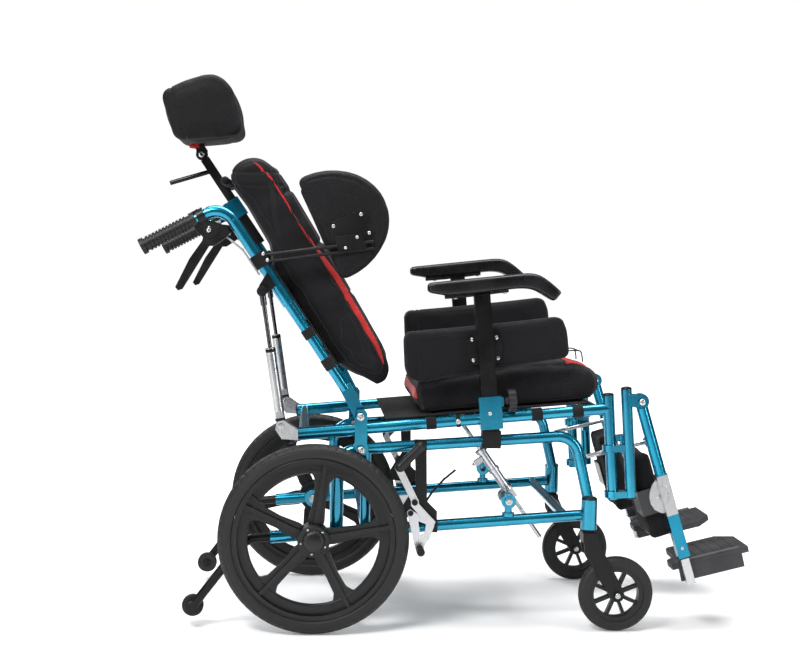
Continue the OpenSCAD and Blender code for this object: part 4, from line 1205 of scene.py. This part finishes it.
# small roll of cloth at the upper rear edge
roll = Part()
c = cane(243, 30)
roll.lathe(V(c[0], -150, c[1]), (0, 1, 0), [(0, 0), (6, 0.6), (9.5, 5), (10, 20), (9.6, 80), (10.2, 150), (9.6, 220), (10, 280), (9.5, 295), (6, 299.4), (0, 300)], 20,
           wave=lambda i, t: 1 + 0.03 * math.sin(5 * t + i))
roll.make("back_cushion_roll", "back_cloth", "back", slot="black_cloth", subd=1)


# ---------------------------------------------------------------- headrest
head = pads["head"].o


def head_shape(co, n):
    x, y, z = mm(co)
    # the seam set in from the rear edge
    d = ((x + 332) * 0.953 + (z - 1092) * 0.303) - 26
    co = groove(co, n, d, 2.4, 1.8)
    for yy in (-82.0, 82.0):
        co = groove(co, n, y - yy, 2.6, 1.5)
    return co


shape(head, head_shape)
paint(head, ("mesh_cloth",), lambda c: np.zeros(len(c)))
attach(head, "headrest")
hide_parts("headrest_pad")
hb = Part()
for s in (-1, 1):
    y0 = s * 13 - 3
    pts = [(HH[0] - 11, HH[1] - 4), (HH[0], HH[1] - 12), (HH[0] + 11, HH[1] - 4), (HH[0] + 12, HH[1] + 10), (-262, 1044.9), (-285, 1042.9), (HH[0] - 12, HH[1] + 10)]
    hb.prism([W(p, y0) for p in pts], Vector((0, 0.006, 0)))
hb.lathe(V(HH[0], -18, HH[1]), (0, 1, 0), [(0, 0), (4, 0), (4, 36), (0, 36)], 24)
for s in (-1, 1):
    hb.button(V(HH[0], s * 16, HH[1]), (0, s, 0), 7.5, 3.6, 1)
hb.make("headrest_bracket", ("black", "zinc"), "headrest", bevel=0.7, slot="black_paint")
neck = Part()
c = ((-262 - 285) / 2 - 1, 1042)
neck.lathe(V(c[0], 0, c[1] - 9), (0.05, 0, 1), [(0, -1), (15, -1), (17.5, 0.5), (18, 4), (16.5, 8), (18.5, 13), (21, 16), (0, 16)], 28,
           wave=lambda i, t: 1 + 0.05 * math.sin(9 * t + i * 1.3))
neck.make("headrest_neck_cover", "red", "headrest", slot="black_cloth", subd=1)


# ---------------------------------------------------------------- thigh pads, side supports and calf pads
thigh = pads["thigh"].o


def thigh_shape(co, n):
    x, y, z = mm(co)
    side_on = np.clip(np.abs(n[:, 1]), 0, 1)
    for xx in (214.0, 225.0):
        co = groove(co, n, (x - xx) + 0.06 * (z - 600), 1.9, 1.5, 1.0 * (z > 0))
    w = 0.7 * np.sin(x / 26.0 + z / 17.0) * np.sin(z / 21.0 + x / 60.0) * side_on
    # drawn in a little round the plate
    d = np.hypot((x - 360) / 46, (z - 607) / 40)
    w += np.exp(-(d ** 4)) * 0.8 * side_on
    return co - n * (w / 1000.0)[:, None]


shape(thigh, thigh_shape)
paint(thigh, ("plain_cloth",), lambda c: np.zeros(len(c)))
lat = pads["lat"].o


def lat_shape(co, n):
    x, y, z = mm(co)
    dx, dz = x - 8.7, z - 863
    p = LAT_U[0] * dx + LAT_U[1] * dz + 7.5
    q = LAT_N[0] * dx + LAT_N[1] * dz - 5
    r = np.hypot(p / 119, np.maximum(q, 0) / 140)
    side_on = np.clip(np.abs(n[:, 1]), 0, 1)
    co = groove(co, n, (1 - r) * 119 - 15, 2.0, 1.5, side_on * (q > 4))
    w = 0.6 * np.sin(p / 19.0 + q / 31.0) * np.sin(q / 23.0) * side_on
    return co - n * (w / 1000.0)[:, None]


shape(lat, lat_shape)
paint(lat, ("mesh_cloth",), lambda c: np.zeros(len(c)))
calf = pads["calf"].o
paint(calf, ("calf_cloth",), lambda c: np.zeros(len(c)))

up_l = 28
made = {
    "thigh": (thigh, mirrored(thigh, "thigh_pad_cover_left", (30 - up_l * math.sin(math.radians(SEAT_A)), 0, up_l * math.cos(math.radians(SEAT_A))))),
    "lat": (lat, mirrored(lat, "lateral_cover_left")),
    "calf": (calf, mirrored(calf, "calf_pad_cover_left")),
}
for i, (s, sg) in enumerate(SIDES):
    for key, body, node, fill in (("thigh", "armrest", "thigh_pad", 0.8), ("lat", "lateral_pad", "lateral_pad", 0.75), ("calf", "leg", "calf_pad", 0.7)):
        o = made[key][i]
        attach(o, f"{body}_{s}")
        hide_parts(f"{node}_{s}")


# ---------------------------------------------------------------- tyres and wheels
def tyre(side_name, sg, phase):
    prof = [(172.2, -15.5), (174.5, -17.8), (177, -19.0), (182, -19.2), (188, -19.0), (190, -17.9), (192, -18.2), (194.6, -16.6), (197.6, -13.6),
            (199.6, -10.6), (200.8, -7.6), (201.2, -5.2), (200.6, -4.6), (200.7, -1.6), (201.9, -1.0), (201.9, 1.0), (200.7, 1.6), (200.6, 4.6), (201.2, 5.2), (200.8, 7.6),
            (199.6, 10.6), (197.6, 13.6), (194.6, 16.6), (192, 18.2), (190, 17.9), (188, 19.0), (182, 19.2), (177, 19.0), (174.5, 17.8), (172.2, 15.5)]
    n = 330
    cut = {7: 1.2, 8: 2.0, 9: 2.0, 10: 1.5, 19: 1.5, 20: 2.0, 21: 2.0, 22: 1.2}
    rings = []
    for j in range(n):
        t = 2 * math.pi * j / n + phase
        ring = []
        for i, (r, y) in enumerate(prof):
            if i in cut:
                k = (j + (2 if i > 14 else 0)) % 5
                if k == 0:
                    r -= cut[i]
            ring.append(V(r * math.cos(t), sg * (-WY + y), 202 + r * math.sin(t)))
        rings.append(ring)
    p = Part()
    p.rings(rings, closed=True)
    o = p.make(f"tyre_cover_{side_name}", "tyre", f"wheel_{side_name}", smooth=32, slot="tyre_rubber", replaces=[f"tyre_{side_name}"])
    # domed hub cap with ribs, and the raised ring round it
    q = Part()
    face = -WY - 27
    q.lathe(V(0, sg * face, 202), (0, -sg, 0), [(33.2, -1), (33.2, 1.2), (31, 2.2), (29.5, 1.6), (24.5, 2.4), (23.4, 5.6), (20.5, 8.4), (15.5, 10.4), (9, 11.7), (3, 12.2), (0, 12.2),
             (0, 11.2), (8, 10.9), (12.6, 10.2), (13.0, 2.5), (13.0, 1.2)], 60,
            wave=lambda i, t: 1 + (0.022 * (1 if math.cos(15 * t) > 0.2 else -1) if i in (4, 5, 6, 7) else 0))
    for k in range(5):
        a = 2 * math.pi * (k + 0.5) / 5 + phase
        q.button(V(27 * math.cos(a), sg * (face - 1.4), 202 + 27 * math.sin(a)), (0, -sg, 0), 2.4, 1.6, 1)
    # valve stem on the rim
    a = 1.1 + phase
    d = Vector((math.cos(a), 0, math.sin(a)))
    q.lathe(V(159 * d.x, sg * (-WY - 9), 202 + 159 * d.z), -d, [(0, -3), (3.4, -3), (3.0, 5), (2.2, 7), (2.2, 15), (2.7, 15.4), (2.7, 23), (0, 24)], 12, mat=0)
    q.make(f"hub_cap_{side_name}", ("wheel", "zinc"), f"wheel_{side_name}", bevel=0, slot="wheel_plastic")
    # fine lip where the tyre meets the rim, and rib lines on the spokes
    r2 = Part()
    for yy in (-WY - 16.4, -WY + 16.4):
        ring = [V(170.2 * math.cos(2 * math.pi * j / 120), sg * yy, 202 + 170.2 * math.sin(2 * math.pi * j / 120)) for j in range(120)]
        r2.tube(ring, 1.7, 8, closed=True)
        ring = [V(140.5 * math.cos(2 * math.pi * j / 100), sg * (yy + (11.2 if yy < -WY else -11.2)), 202 + 140.5 * math.sin(2 * math.pi * j / 100)) for j in range(100)]
        r2.tube(ring, 1.6, 6, closed=True)
    r2.make(f"rim_beads_{side_name}", "wheel", f"wheel_{side_name}", slot="wheel_plastic")


tyre("right", 1, math.radians(82))
tyre("left", -1, math.radians(46))

for s, sg in SIDES:
    # caster hub caps and a moulding line on each caster tyre
    p = Part()
    for e in (-1, 1):
        p.lathe(V(653, sg * (-FY - 10) + e * 13.0, 81), (0, e, 0), [(15.8, -0.2), (15.8, 0.6), (14, 1.2), (9, 1.3), (8.2, 0.2)], 28)
        ring = [V(653 + 70.5 * math.cos(2 * math.pi * j / 90), sg * (-FY - 10) + e * 12.6, 81 + 70.5 * math.sin(2 * math.pi * j / 90)) for j in range(90)]
        p.tube(ring, 1.3, 6, mat=1, closed=True)
    p.make(f"caster_caps_{s}", ("wheel", "caster_tyre"), f"caster_wheel_{s}", slot="tyre_rubber")
    p = Part()
    for e in (-1, 1):
        p.button(V(653, sg * (-FY - 10) + e * 26.0, 81), (0, e, 0), 6.6, 4.0, 0)
    # stem cap above the fork
    p.lathe(V(591, sg * (-FY - 10), 215.2), (0, 0, 1), [(13.5, 0), (13.8, 1.5), (13.8, 3.2), (12, 4.6), (6.4, 4.8)], 28, mat=1)
    p.make(f"caster_axle_caps_{s}", ("zinc", "black"), f"caster_fork_{s}", slot="steel")
    # axle bolts of the anti-tip wheel
    lo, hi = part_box(f"anti_tip_wheel_{s}")
    c = [(lo[i] + hi[i]) / 2 for i in range(3)]
    p = Part()
    for e in (-1, 1):
        y = hi[1] + 0.0006 if e > 0 else lo[1] - 0.0006
        p.button(Vector((c[0], y, c[2])), (0, e, 0), 6.2, 4.4, 0)
        p.lathe(Vector((c[0], y, c[2])), (0, e, 0), [(6.2, -1), (10.5, -0.6), (10.5, 0.4), (6.2, 0.6)], 24, mat=1)
    p.make(f"anti_tip_bolts_{s}", ("zinc", "black"), f"anti_tip_wheel_{s}", slot="steel")
    # dust cap on the caster head tube, tube plugs, and bolt heads of the base
    p = Part()
    p.lathe(V(591, sg * (-FY - 10), 284.6), (0, 0, 1), [(16.6, 0), (16.9, 1.5), (16.2, 4.0), (13, 6.4), (6, 7.6), (0, 7.8)], 32)
    p.lathe(V(577, sg * -FY, low(577)), (1, 0, 0.078), [(11.6, -1), (12.2, 0), (12.2, 1.6), (10, 3.4), (0, 4)], 28)
    p.make(f"base_plugs_{s}", "black", "base", slot="black_paint")
    p = Part()
    p.button(V(96.8, sg * (-FY - 30.8), 388), (0, -sg, 0), 8.6, 3.6)
    p.hexnut(V(417, sg * (-FY - 9.0), 279), (0, -sg, 0), 8.4, 4.4)
    p.make(f"base_bolt_heads_{s}", "zinc", "base", slot="steel")
    p = Part()
    p.button(V(95.5, sg * (-FY - 26.8), 459), (0, -sg, 0), 8.6, 3.6)
    p.make(f"recline_bolt_head_{s}", "zinc", "back", slot="steel")


# ---------------------------------------------------------------- armrest pads
def arm_pad(s, sg, up):
    dx, dz = -up * math.sin(math.radians(SEAT_A)), up * math.cos(math.radians(SEAT_A))
    st = [((232.5, 727), (232, 740)), ((236, 723.6), (235, 744)), ((243, 722.4), (241, 746)), ((266, 719.6), (265, 748.6)), ((271, 717.2), (270, 749.2)), ((315, 722.4), (313, 754.6)), ((362, 728), (359, 759.8)), ((400, 733.4), (396, 764.2)),
          ((425, 736.6), (422, 767.2)), ((441, 736.2), (444, 769.6)), ((454, 734.4), (462, 768.6)), ((466, 729.4), (477, 761.4)), ((480, 721.4), (493, 749.8)),
          ((493, 713.6), (507, 738)), ((498, 711.2), (513, 732.6)), ((501, 712.4), (515.5, 730.2))]
    rings, n = [], 28
    k = len(st)
    for i, (b, t) in enumerate(st):
        c = ((b[0] + t[0]) / 2, (b[1] + t[1]) / 2)
        h = (t[0] - c[0], t[1] - c[1])
        w = 24.0 * (0.80 if i == 0 else 0.93 if i == 1 else 0.985 if i == 2 else 0.90 if i == k - 1 else 0.965 if i == k - 2 else 1.0)
        if i in (0, k - 1):
            h = (h[0] * 0.86, h[1] * 0.86)
        ring = []
        for j in range(n):
            q = 2 * math.pi * j / n
            a, e = math.cos(q), math.sin(q)
            e2 = 0.42 if e > 0 else 0.30
            yy = math.copysign(abs(a) ** 0.42, a) * w
            hh = math.copysign(abs(e) ** e2, e)
            # thin bottom step: the pad is wider than its metal bar
            if e < -0.55:
                yy *= 0.93
            ring.append(V(c[0] + h[0] * hh + dx, sg * (AY - 10) + yy, c[1] + h[1] * hh + dz))
        rings.append(ring)
    p = Part()
    p.rings(rings)
    p.make(f"armrest_pad_cover_{s}", "skin", f"armrest_{s}", smooth=55, subd=1, slot="armrest_foam", replaces=[f"armrest_pad_{s}"])
    # metal bar under the pad, its two bolts and a rivet at the rear
    q = Part()
    for y0 in (-8.0,):
        pts = [V(270 + dx, sg * AY, 716.2 + dz), V(316 + dx, sg * AY, 720.6 + dz), V(362 + dx, sg * AY, 727.0 + dz), V(404 + dx, sg * AY, 733.0 + dz)]
        q.tube(pts, 0, flat=(11, 5.0), up=Vector((0, 0, 1)))
    for x, z in ((292, 713.4), (398, 727.2)):
        q.button(V(x + dx, sg * AY, z + dz), (0.12, 0, -1), 5.0, 2.6, 1)
    q.button(V(243.5 + dx, sg * (AY - 33.6), 737 + dz), (0, -sg, 0), 2.6, 1.1, 0)
    q.make(f"armrest_bar_{s}", ("black", "zinc"), f"armrest_{s}", bevel=0.4, slot="black_paint")
    # scalloped plate of the thigh pad with four light bolt caps
    q = Part()
    ring = []
    for j in range(72):
        t = 2 * math.pi * j / 72
        e = 1 + 0.045 * math.cos(12 * t)
        a, b = math.cos(t), math.sin(t)
        ring.append(lean(ARM, SEAT_A, 0, (37.5 * math.copysign(abs(a) ** 0.75, a) * e, 0, 100 + 33.5 * math.copysign(abs(b) ** 0.75, b) * e)))
    ring = [Vector((p.x + dx / 1000, sg * (AY + 10.4) / 1000, p.z + dz / 1000)) for p in ring]
    q.prism(ring if sg > 0 else ring[::-1], Vector((0, sg * 0.0012, 0)))
    for x in (-26, 26):
        for z in (78, 122):
            b = lean(ARM, SEAT_A, 0, (x, 0, z))
            q.button(Vector((b.x + dx / 1000, sg * (AY + 10.4) / 1000, b.z + dz / 1000)), (0, -sg, 0), 4.6, 3.0, 1, socket=False)
    q.make(f"thigh_plate_{s}", ("black", "zinc"), f"armrest_{s}", smooth=30, bevel=0.3, slot="black_paint")


arm_pad("right", 1, 0)
arm_pad("left", -1, 28)


# ---------------------------------------------------------------- side supports
for s, sg in SIDES:
    q = Part()
    pts = [(44, 806), (104, 814.5), (92, 846), (36, 838)]
    ring = [V(x, sg * -230, z) for x, z in pts]
    q.prism(ring if sg > 0 else ring[::-1], Vector((0, sg * 0.0094, 0)))
    # bracket plate on the pad with four caps
    u, n = LAT_U, LAT_N
    plate = []
    for a, b in ((-64, 14), (-64, 92), (-58, 98), (-8, 98), (-2, 92), (-2, 14), (-8, 8), (-58, 8)):
        plate.append(V(8.7 + u[0] * a + n[0] * b, sg * -222.2, 863 + u[1] * a + n[1] * b))
    q.prism(plate if sg > 0 else plate[::-1], Vector((0, sg * 0.0016, 0)))
    for a, b in ((-55, 20), (-55, 84), (-12, 20), (-12, 84)):
        q.button(V(8.7 + u[0] * a + n[0] * b, sg * -222.2, 863 + u[1] * a + n[1] * b), (0, -sg, 0), 4.2, 2.6, 1, socket=False)
    for x, z in ((58, 815), (82, 838)):
        q.button(V(x, sg * -229.8, z), (0, -sg, 0), 3.6, 2.2, 1)
    q.make(f"side_support_bracket_{s}", ("black", "zinc"), f"lateral_pad_{s}", bevel=0.8, slot="black_paint")
    # clamp bolts, lever pivot and barrel adjuster on the cane
    q = Part()
    c = cane(57, 0)
    for a in (-8, 8):
        b = cane(57 + a, 14)
        q.button(V(b[0], sg * (-CY - 13.4), b[1]), (0, -sg, 0), 4.0, 2.4, 0)
    q.button(W(LP, sg * (-CY - 12.6)), (0, -sg, 0), 5.0, 2.2, 0)
    a, b = hp(149.5, -26), hp(171, -31)
    d = (V(b[0], 0, b[1]) - V(a[0], 0, a[1])).normalized()
    q.lathe(V(a[0], sg * -CY, a[1]), d, [(0, 0), (5.2, 0), (5.4, 1), (5.4, 8), (4.4, 9), (4.4, 17), (3.0, 19), (0, 19)], 20, mat=1, wave=lambda i, t: 1 + (0.04 * math.cos(10 * t) if i in (2, 3) else 0))
    q.make(f"cane_bolts_{s}", ("zinc", "cable_grey"), "back", slot="steel")
    # webbing straps round the cane at the foot of the back cushion
    q = Part()
    for uu, w in ((-205, 13), (-128, 11)):
        c = cane(uu, 0)
        q.lathe(V(c[0], sg * -CY, c[1]) - Vector((-0.565, 0, 0.825)) * (w / 1000.0), (-0.565, 0, 0.825), [(11.1, 0), (12.5, 0.4), (12.6, w), (12.5, 2 * w - 0.4), (11.1, 2 * w)], 28)
        a = cane(uu, 12.8)
        q.block(V(a[0], sg * (-CY + 20), a[1]), (0.825, 0, 0.565), (0, 1, 0), (-0.565, 0, 0.825), (0.9, 17, w - 0.6))
    q.make(f"cane_straps_{s}", "strap", "back", slot="black_cloth", bevel=0.3)
    # clevis of the gas spring
    q = Part()
    C = (-116, 721)
    q.lathe(V(C[0], sg * -GY - 8.6, C[1]), (0, 1, 0), [(0, 0), (7.2, 0), (7.6, 1), (7.6, 16.2), (7.2, 17.2), (0, 17.2)], 24)
    q.make(f"gas_clevis_{s}", "black", "gas_rod", slot="black_paint")
    L = (-72, 438)
    q = Part()
    g = (V(C[0], 0, C[1]) - V(L[0], 0, L[1])).normalized()
    base = V(L[0], sg * -GY, L[1])
    q.lathe(base + g * 0.158, g, [(8.2, -2), (10.8, -1), (11.0, 5), (9.0, 8.2), (5.2, 8.6)], 28)
    q.lathe(base + g * 0.010, g, [(8.2, -1), (11.0, 0), (11.0, 5.2), (10.4, 6.2)], 28)
    q.make(f"gas_collars_{s}", "black", "gas_cylinder", slot="black_paint")
    q = Part()
    q.button(V(L[0], sg * -GY - sg * 11.2, L[1]), (0, -sg, 0), 6.6, 0.5, 0)
    q.hexnut(V(L[0], sg * -GY + sg * 12.0, L[1]), (0, sg, 0), 6.4, 4.0, 0)
    # bolt of the socket, bolt through the rail, straps that hold the seat sling and cushion
    b = lean(ARM, SEAT_A, 0, (-2, 0, -36))
    q.button(Vector((b.x, sg * (AY - 17) / 1000, b.z)), (0, -sg, 0), 4.2, 2.4, 0)
    q.button(V(304, sg * (-FY - 12), rail(304)), (0, -sg, 0), 6.2, 4.0, 0)
    q.make(f"seat_bolts_{s}", "zinc", "seat", slot="steel")
    q = Part()
    for x, w in ((247, 11), (305, 4.5), (474, 12), (562, 12)):
        c = V(x, sg * -FY, rail(x))
        d = Vector((1, 0, 0.0933)).normalized()
        q.lathe(c - d * (w / 1000.0), d, [(12.1, 0), (13.2, 0.5), (13.3, w), (13.2, 2 * w - 0.5), (12.1, 2 * w)], 28)
        q.block(c + Vector((0, sg * 0.011, 0.0065)), d, (0, 1, 0), (0, 0, 1), (w - 0.5, 0.9, 7.0))
    q.make(f"rail_straps_{s}", "strap", "seat", slot="black_cloth", bevel=0.3)
    q = Part()
    # plug in the front post and the rear end of the rail
    o = lean((636, 397), 4.2, sg * -FY, (0, 0, 113))
    q.lathe(o, lean((636, 397), 4.2, sg * -FY, (0, 0, 114)) - o, [(11.5, -1), (12.2, 0), (12.2, 1.4), (10.4, 3.8), (5, 5.0), (0, 5.1)], 28)
    q.lathe(V(-42, sg * -FY, rail(-42)), (-1, 0, -0.0933), [(13.2, -1), (14.1, 0), (14.1, 1.6), (12, 3.6), (0, 4.4)], 28)
    q.make(f"seat_plugs_{s}", "black", "seat", slot="black_paint")
    q = Part()
    o = lean((636, 397), 4.2, sg * HY, (36, 0, 126))
    q.lathe(o, lean((636, 397), 4.2, sg * HY, (36, 0, 127)) - o, [(11.0, -1), (11.7, 0), (11.7, 1.4), (10.0, 3.8), (5, 5.0), (0, 5.1)], 28)
    o = lean((636, 397), 4.2, sg * HY, (36, 0, -108))
    q.lathe(o, o - lean((636, 397), 4.2, sg * HY, (36, 0, -107)), [(11.0, -1), (11.7, 0), (11.7, 1.4), (10.0, 3.0), (0, 3.6)], 28)
    q.make(f"hanger_plugs_{s}", "black", f"hanger_{s}", slot="black_paint")
    q = Part()
    q.button(V(E[0], sg * (HY - 19.6), E[1]), (0, -sg, 0), 7.0, 3.2, 0)
    q.hexnut(V(E[0], sg * (HY + 17), E[1]), (0, sg, 0), 6.4, 4.2, 0)
    q.make(f"hanger_bolts_{s}", "zinc", f"hanger_{s}", slot="steel")
    # half-round plate of the leg lock, with its pin
    q = Part()
    plate = [(748, 334), (742, 333), (735, 329), (727.5, 318), (722.5, 304), (722, 289), (726, 275), (735, 263), (749, 256.5), (770, 257)]
    q.prism([W(p, sg * -238.1) for p in plate], Vector((0, sg * -0.0028, 0)))
    q.hexnut(V(741, sg * -240.9, 291), (0, -sg, 0), 5.0, 3.4, 1)
    q.button(V(741, sg * -244.2, 291), (0, -sg, 0), 3.0, 1.6, 1)
    q.make(f"leg_quadrant_{s}", ("steel", "zinc"), f"leg_{s}", bevel=0.6, slot="steel")
    # height screws of the leg extension and calf pad bolts
    q = Part()
    for z in (-190, -208, -330):
        o = lean(E, LEG_A, sg * HY, (0, -sg * 12.4, z))
        q.button(o, (0, -sg, 0), 3.8, 2.2, 0)
    o = lean(E, LEG_A, sg * HY, (0, 0, -352))
    d = lean(E, LEG_A, sg * HY, (0, 0, -353)) - o
    e = lean(E, LEG_A, sg * HY, (1, 0, -352)) - o
    for side_y in (-11.2, 11.2):
        q.block(o + Vector((0, side_y / 1000.0, 0)) + d * 0.5, e, (0, 1, 0), d, (12.6, 1.6, 1.2), 1)
    for side_x in (-11.2, 11.2):
        q.block(o + e * side_x + d * 0.5, e, (0, 1, 0), d, (1.6, 12.6, 1.2), 1)
    q.make(f"leg_screws_{s}", ("zinc", "black"), f"leg_{s}", slot="steel")


# ---------------------------------------------------------------- lever housings on the push handles
HOUSING = [(-271.8, 879.9), (-255.2, 890.8), (-240.5, 882.7), (-238.2, 868.0), (-219.4, 866.3), (-194.1, 856.3), (-183.5, 843.9), (-193.9, 831.1), (-218.8, 813.8), (-233.5, 813.5), (-242.0, 832.2), (-256.8, 846.7)]
HC = (-229.0, 852.1)
for s, sg in SIDES:
    q = Part()
    pts = HOUSING
    for half_y, off in ((9.0, 0.0), (11.5, 0.0)):
        shape_pts = pts if half_y < 10 else [(p[0] * 0.55 + HC[0] * 0.45, p[1] * 0.55 + HC[1] * 0.45) for p in pts]
        ring = [W(p, sg * -CY - half_y) for p in shape_pts]
        q.prism(ring, Vector((0, 2 * half_y / 1000.0, 0)))
    q.button(W(HC, sg * (-CY - 11.4)), (0, -sg, 0), 3.6, 2.0, 1)
    # indicator rings where the cable enters
    a, b = W(HOUSING[5], sg * -CY), W(HOUSING[7], sg * -CY)
    d = (a - b).normalized()
    q.lathe((a + b) / 2 - Vector((0, 0.0, 0)), Vector((0.82, 0, -0.35)).normalized(), [(0, -2), (4.6, -2), (4.6, 6), (3.4, 7), (3.4, 11), (0, 11)], 18, mat=2)
    q.make(f"lever_housing_{s}", ("black", "zinc", "cable_grey"), "back", bevel=1.2, slot="black_paint")


# ---------------------------------------------------------------- slings
def sling(name, corners, body, node):
    """A cloth sheet between four corners (a, b along x; c, d across), with a little sag."""
    a, b, c, d = corners
    nu, nv = 36, 36
    me = bpy.data.meshes.new(name)
    up = (b - a).cross(d - a).normalized()
    if up.z < 0:
        up = -up
    vs = []
    for i in range(nu + 1):
        for j in range(nv + 1):
            s, t = i / nu, j / nv
            p = a.lerp(b, s).lerp(d.lerp(c, s), t)
            sag = 1.1 * math.sin(math.pi * t) * (0.6 + 0.4 * math.sin(math.pi * s))
            vs.append(p - up * (sag / 1000.0))
    fs = [(i * (nv + 1) + j, (i + 1) * (nv + 1) + j, (i + 1) * (nv + 1) + j + 1, i * (nv + 1) + j + 1) for i in range(nu) for j in range(nv)]
    me.from_pydata([tuple(v) for v in vs], [], fs)
    me.materials.append(M["sling"])
    me.polygons.foreach_set("use_smooth", [True] * len(me.polygons))
    o = bpy.data.objects.new(name, me)
    SCENE.collection.objects.link(o)
    so = o.modifiers.new("thick", "SOLIDIFY")
    so.thickness, so.offset = 0.0016, 0
    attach(o, body)
    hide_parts(node)
    return o


z0 = 14.6
sling("seat_sling_cloth", [V(150, -218, rail(150) + z0), V(586, -218, rail(586) + z0), V(586, 218, rail(586) + z0), V(150, 218, rail(150) + z0)],
      "seat", "seat_sling")
a, b = cane(-225, 14.4), cane(38, 14.4)
sling("back_sling_cloth", [V(a[0], -214, a[1]), V(b[0], -214, b[1]), V(b[0], 214, b[1]), V(a[0], 214, a[1])], "back", "back_sling")


# ---------------------------------------------------------------- floor and light
def make_stage():
    me = bpy.data.meshes.new("floor")
    me.from_pydata([(-14, -14, -0.0005), (14, -14, -0.0005), (14, 14, -0.0005), (-14, 14, -0.0005)], [], [(0, 1, 2, 3)])
    o = bpy.data.objects.new("floor", me)
    SCENE.collection.objects.link(o)
    m = Mat("floor", rough=0.55, spec=0.3)
    v = m.noise(2.0, 3.0)
    m.set("color", m.ramp(v, [(0.3, (0.90, 0.90, 0.905)), (0.7, (0.93, 0.93, 0.93))]))
    # the floor glows into the pale background away from the chair
    far = m.node("ShaderNodeVectorMath", {0: m.obj}, operation="LENGTH").outputs["Value"]
    glow = m.range(far, 0.75, 2.6, 0.14, 1.0)
    seen_by_camera = m.t.nodes.new("ShaderNodeLightPath").outputs["Is Camera Ray"]
    glow = m.math("MULTIPLY", glow, seen_by_camera)
    m.b.inputs["Emission Color"].default_value = (1, 1, 1, 1)
    m.t.links.new(glow, m.b.inputs["Emission Strength"])
    me.materials.append(m.m)

    w = bpy.data.worlds.new("studio")
    SCENE.world = w
    w.use_nodes = True
    t = w.node_tree
    t.nodes.clear()
    out = t.nodes.new("ShaderNodeOutputWorld")
    seen = t.nodes.new("ShaderNodeBackground")
    seen.inputs["Color"].default_value = (1.0, 1.0, 1.0, 1)
    seen.inputs["Strength"].default_value = 1.02
    lit = t.nodes.new("ShaderNodeBackground")
    lit.inputs["Strength"].default_value = 0.55
    tc = t.nodes.new("ShaderNodeTexCoord")
    sep = t.nodes.new("ShaderNodeSeparateXYZ")
    t.links.new(tc.outputs["Generated"], sep.inputs[0])
    ramp = t.nodes.new("ShaderNodeValToRGB")
    stops = [(0.0, 0.16), (0.40, 0.05), (0.52, 0.10), (0.62, 0.30), (0.72, 0.12), (0.86, 0.75), (1.0, 1.0)]
    while len(ramp.color_ramp.elements) < len(stops):
        ramp.color_ramp.elements.new(0.5)
    for e, (p, c) in zip(ramp.color_ramp.elements, stops):
        e.position = p
        e.color = (c, c, c * 1.02, 1)
    half = t.nodes.new("ShaderNodeMath")
    half.operation = "MULTIPLY_ADD"
    half.inputs[1].default_value = 0.5
    half.inputs[2].default_value = 0.5
    t.links.new(sep.outputs[2], half.inputs[0])
    t.links.new(half.outputs[0], ramp.inputs["Fac"])
    t.links.new(ramp.outputs["Color"], lit.inputs["Color"])
    lp = t.nodes.new("ShaderNodeLightPath")
    mix = t.nodes.new("ShaderNodeMixShader")
    t.links.new(lp.outputs["Is Camera Ray"], mix.inputs[0])
    t.links.new(lit.outputs[0], mix.inputs[1])
    t.links.new(seen.outputs[0], mix.inputs[2])
    t.links.new(mix.outputs[0], out.inputs[0])

    def area(name, at, to, size, power, color=(1, 1, 1)):
        d = bpy.data.lights.new(name, "AREA")
        d.shape = "RECTANGLE"
        d.size, d.size_y = size
        d.energy = power
        d.color = color
        o = bpy.data.objects.new(name, d)
        SCENE.collection.objects.link(o)
        at, to = Vector(at), Vector(to)
        o.matrix_world = Matrix.Translation(at) @ (to - at).to_track_quat("-Z", "Y").to_matrix().to_4x4()

    area("key", (-1.5, -2.3, 3.0), (0, 0, 0.4), (1.2, 0.6), 105)
    area("fill", (2.6, -2.0, 1.3), (0, 0, 0.6), (0.35, 1.7), 26)
    area("strip", (-2.7, -2.2, 1.2), (0, 0, 0.6), (0.25, 1.8), 16)
    area("top", (0.1, 0.2, 3.4), (0, 0, 0.3), (3.0, 1.6), 120)
    area("rear", (-1.8, 2.6, 2.0), (0, 0, 0.5), (1.0, 1.4), 40)
    SCENE.view_settings.view_transform = "Standard"
    SCENE.view_settings.look = "None"


make_stage()
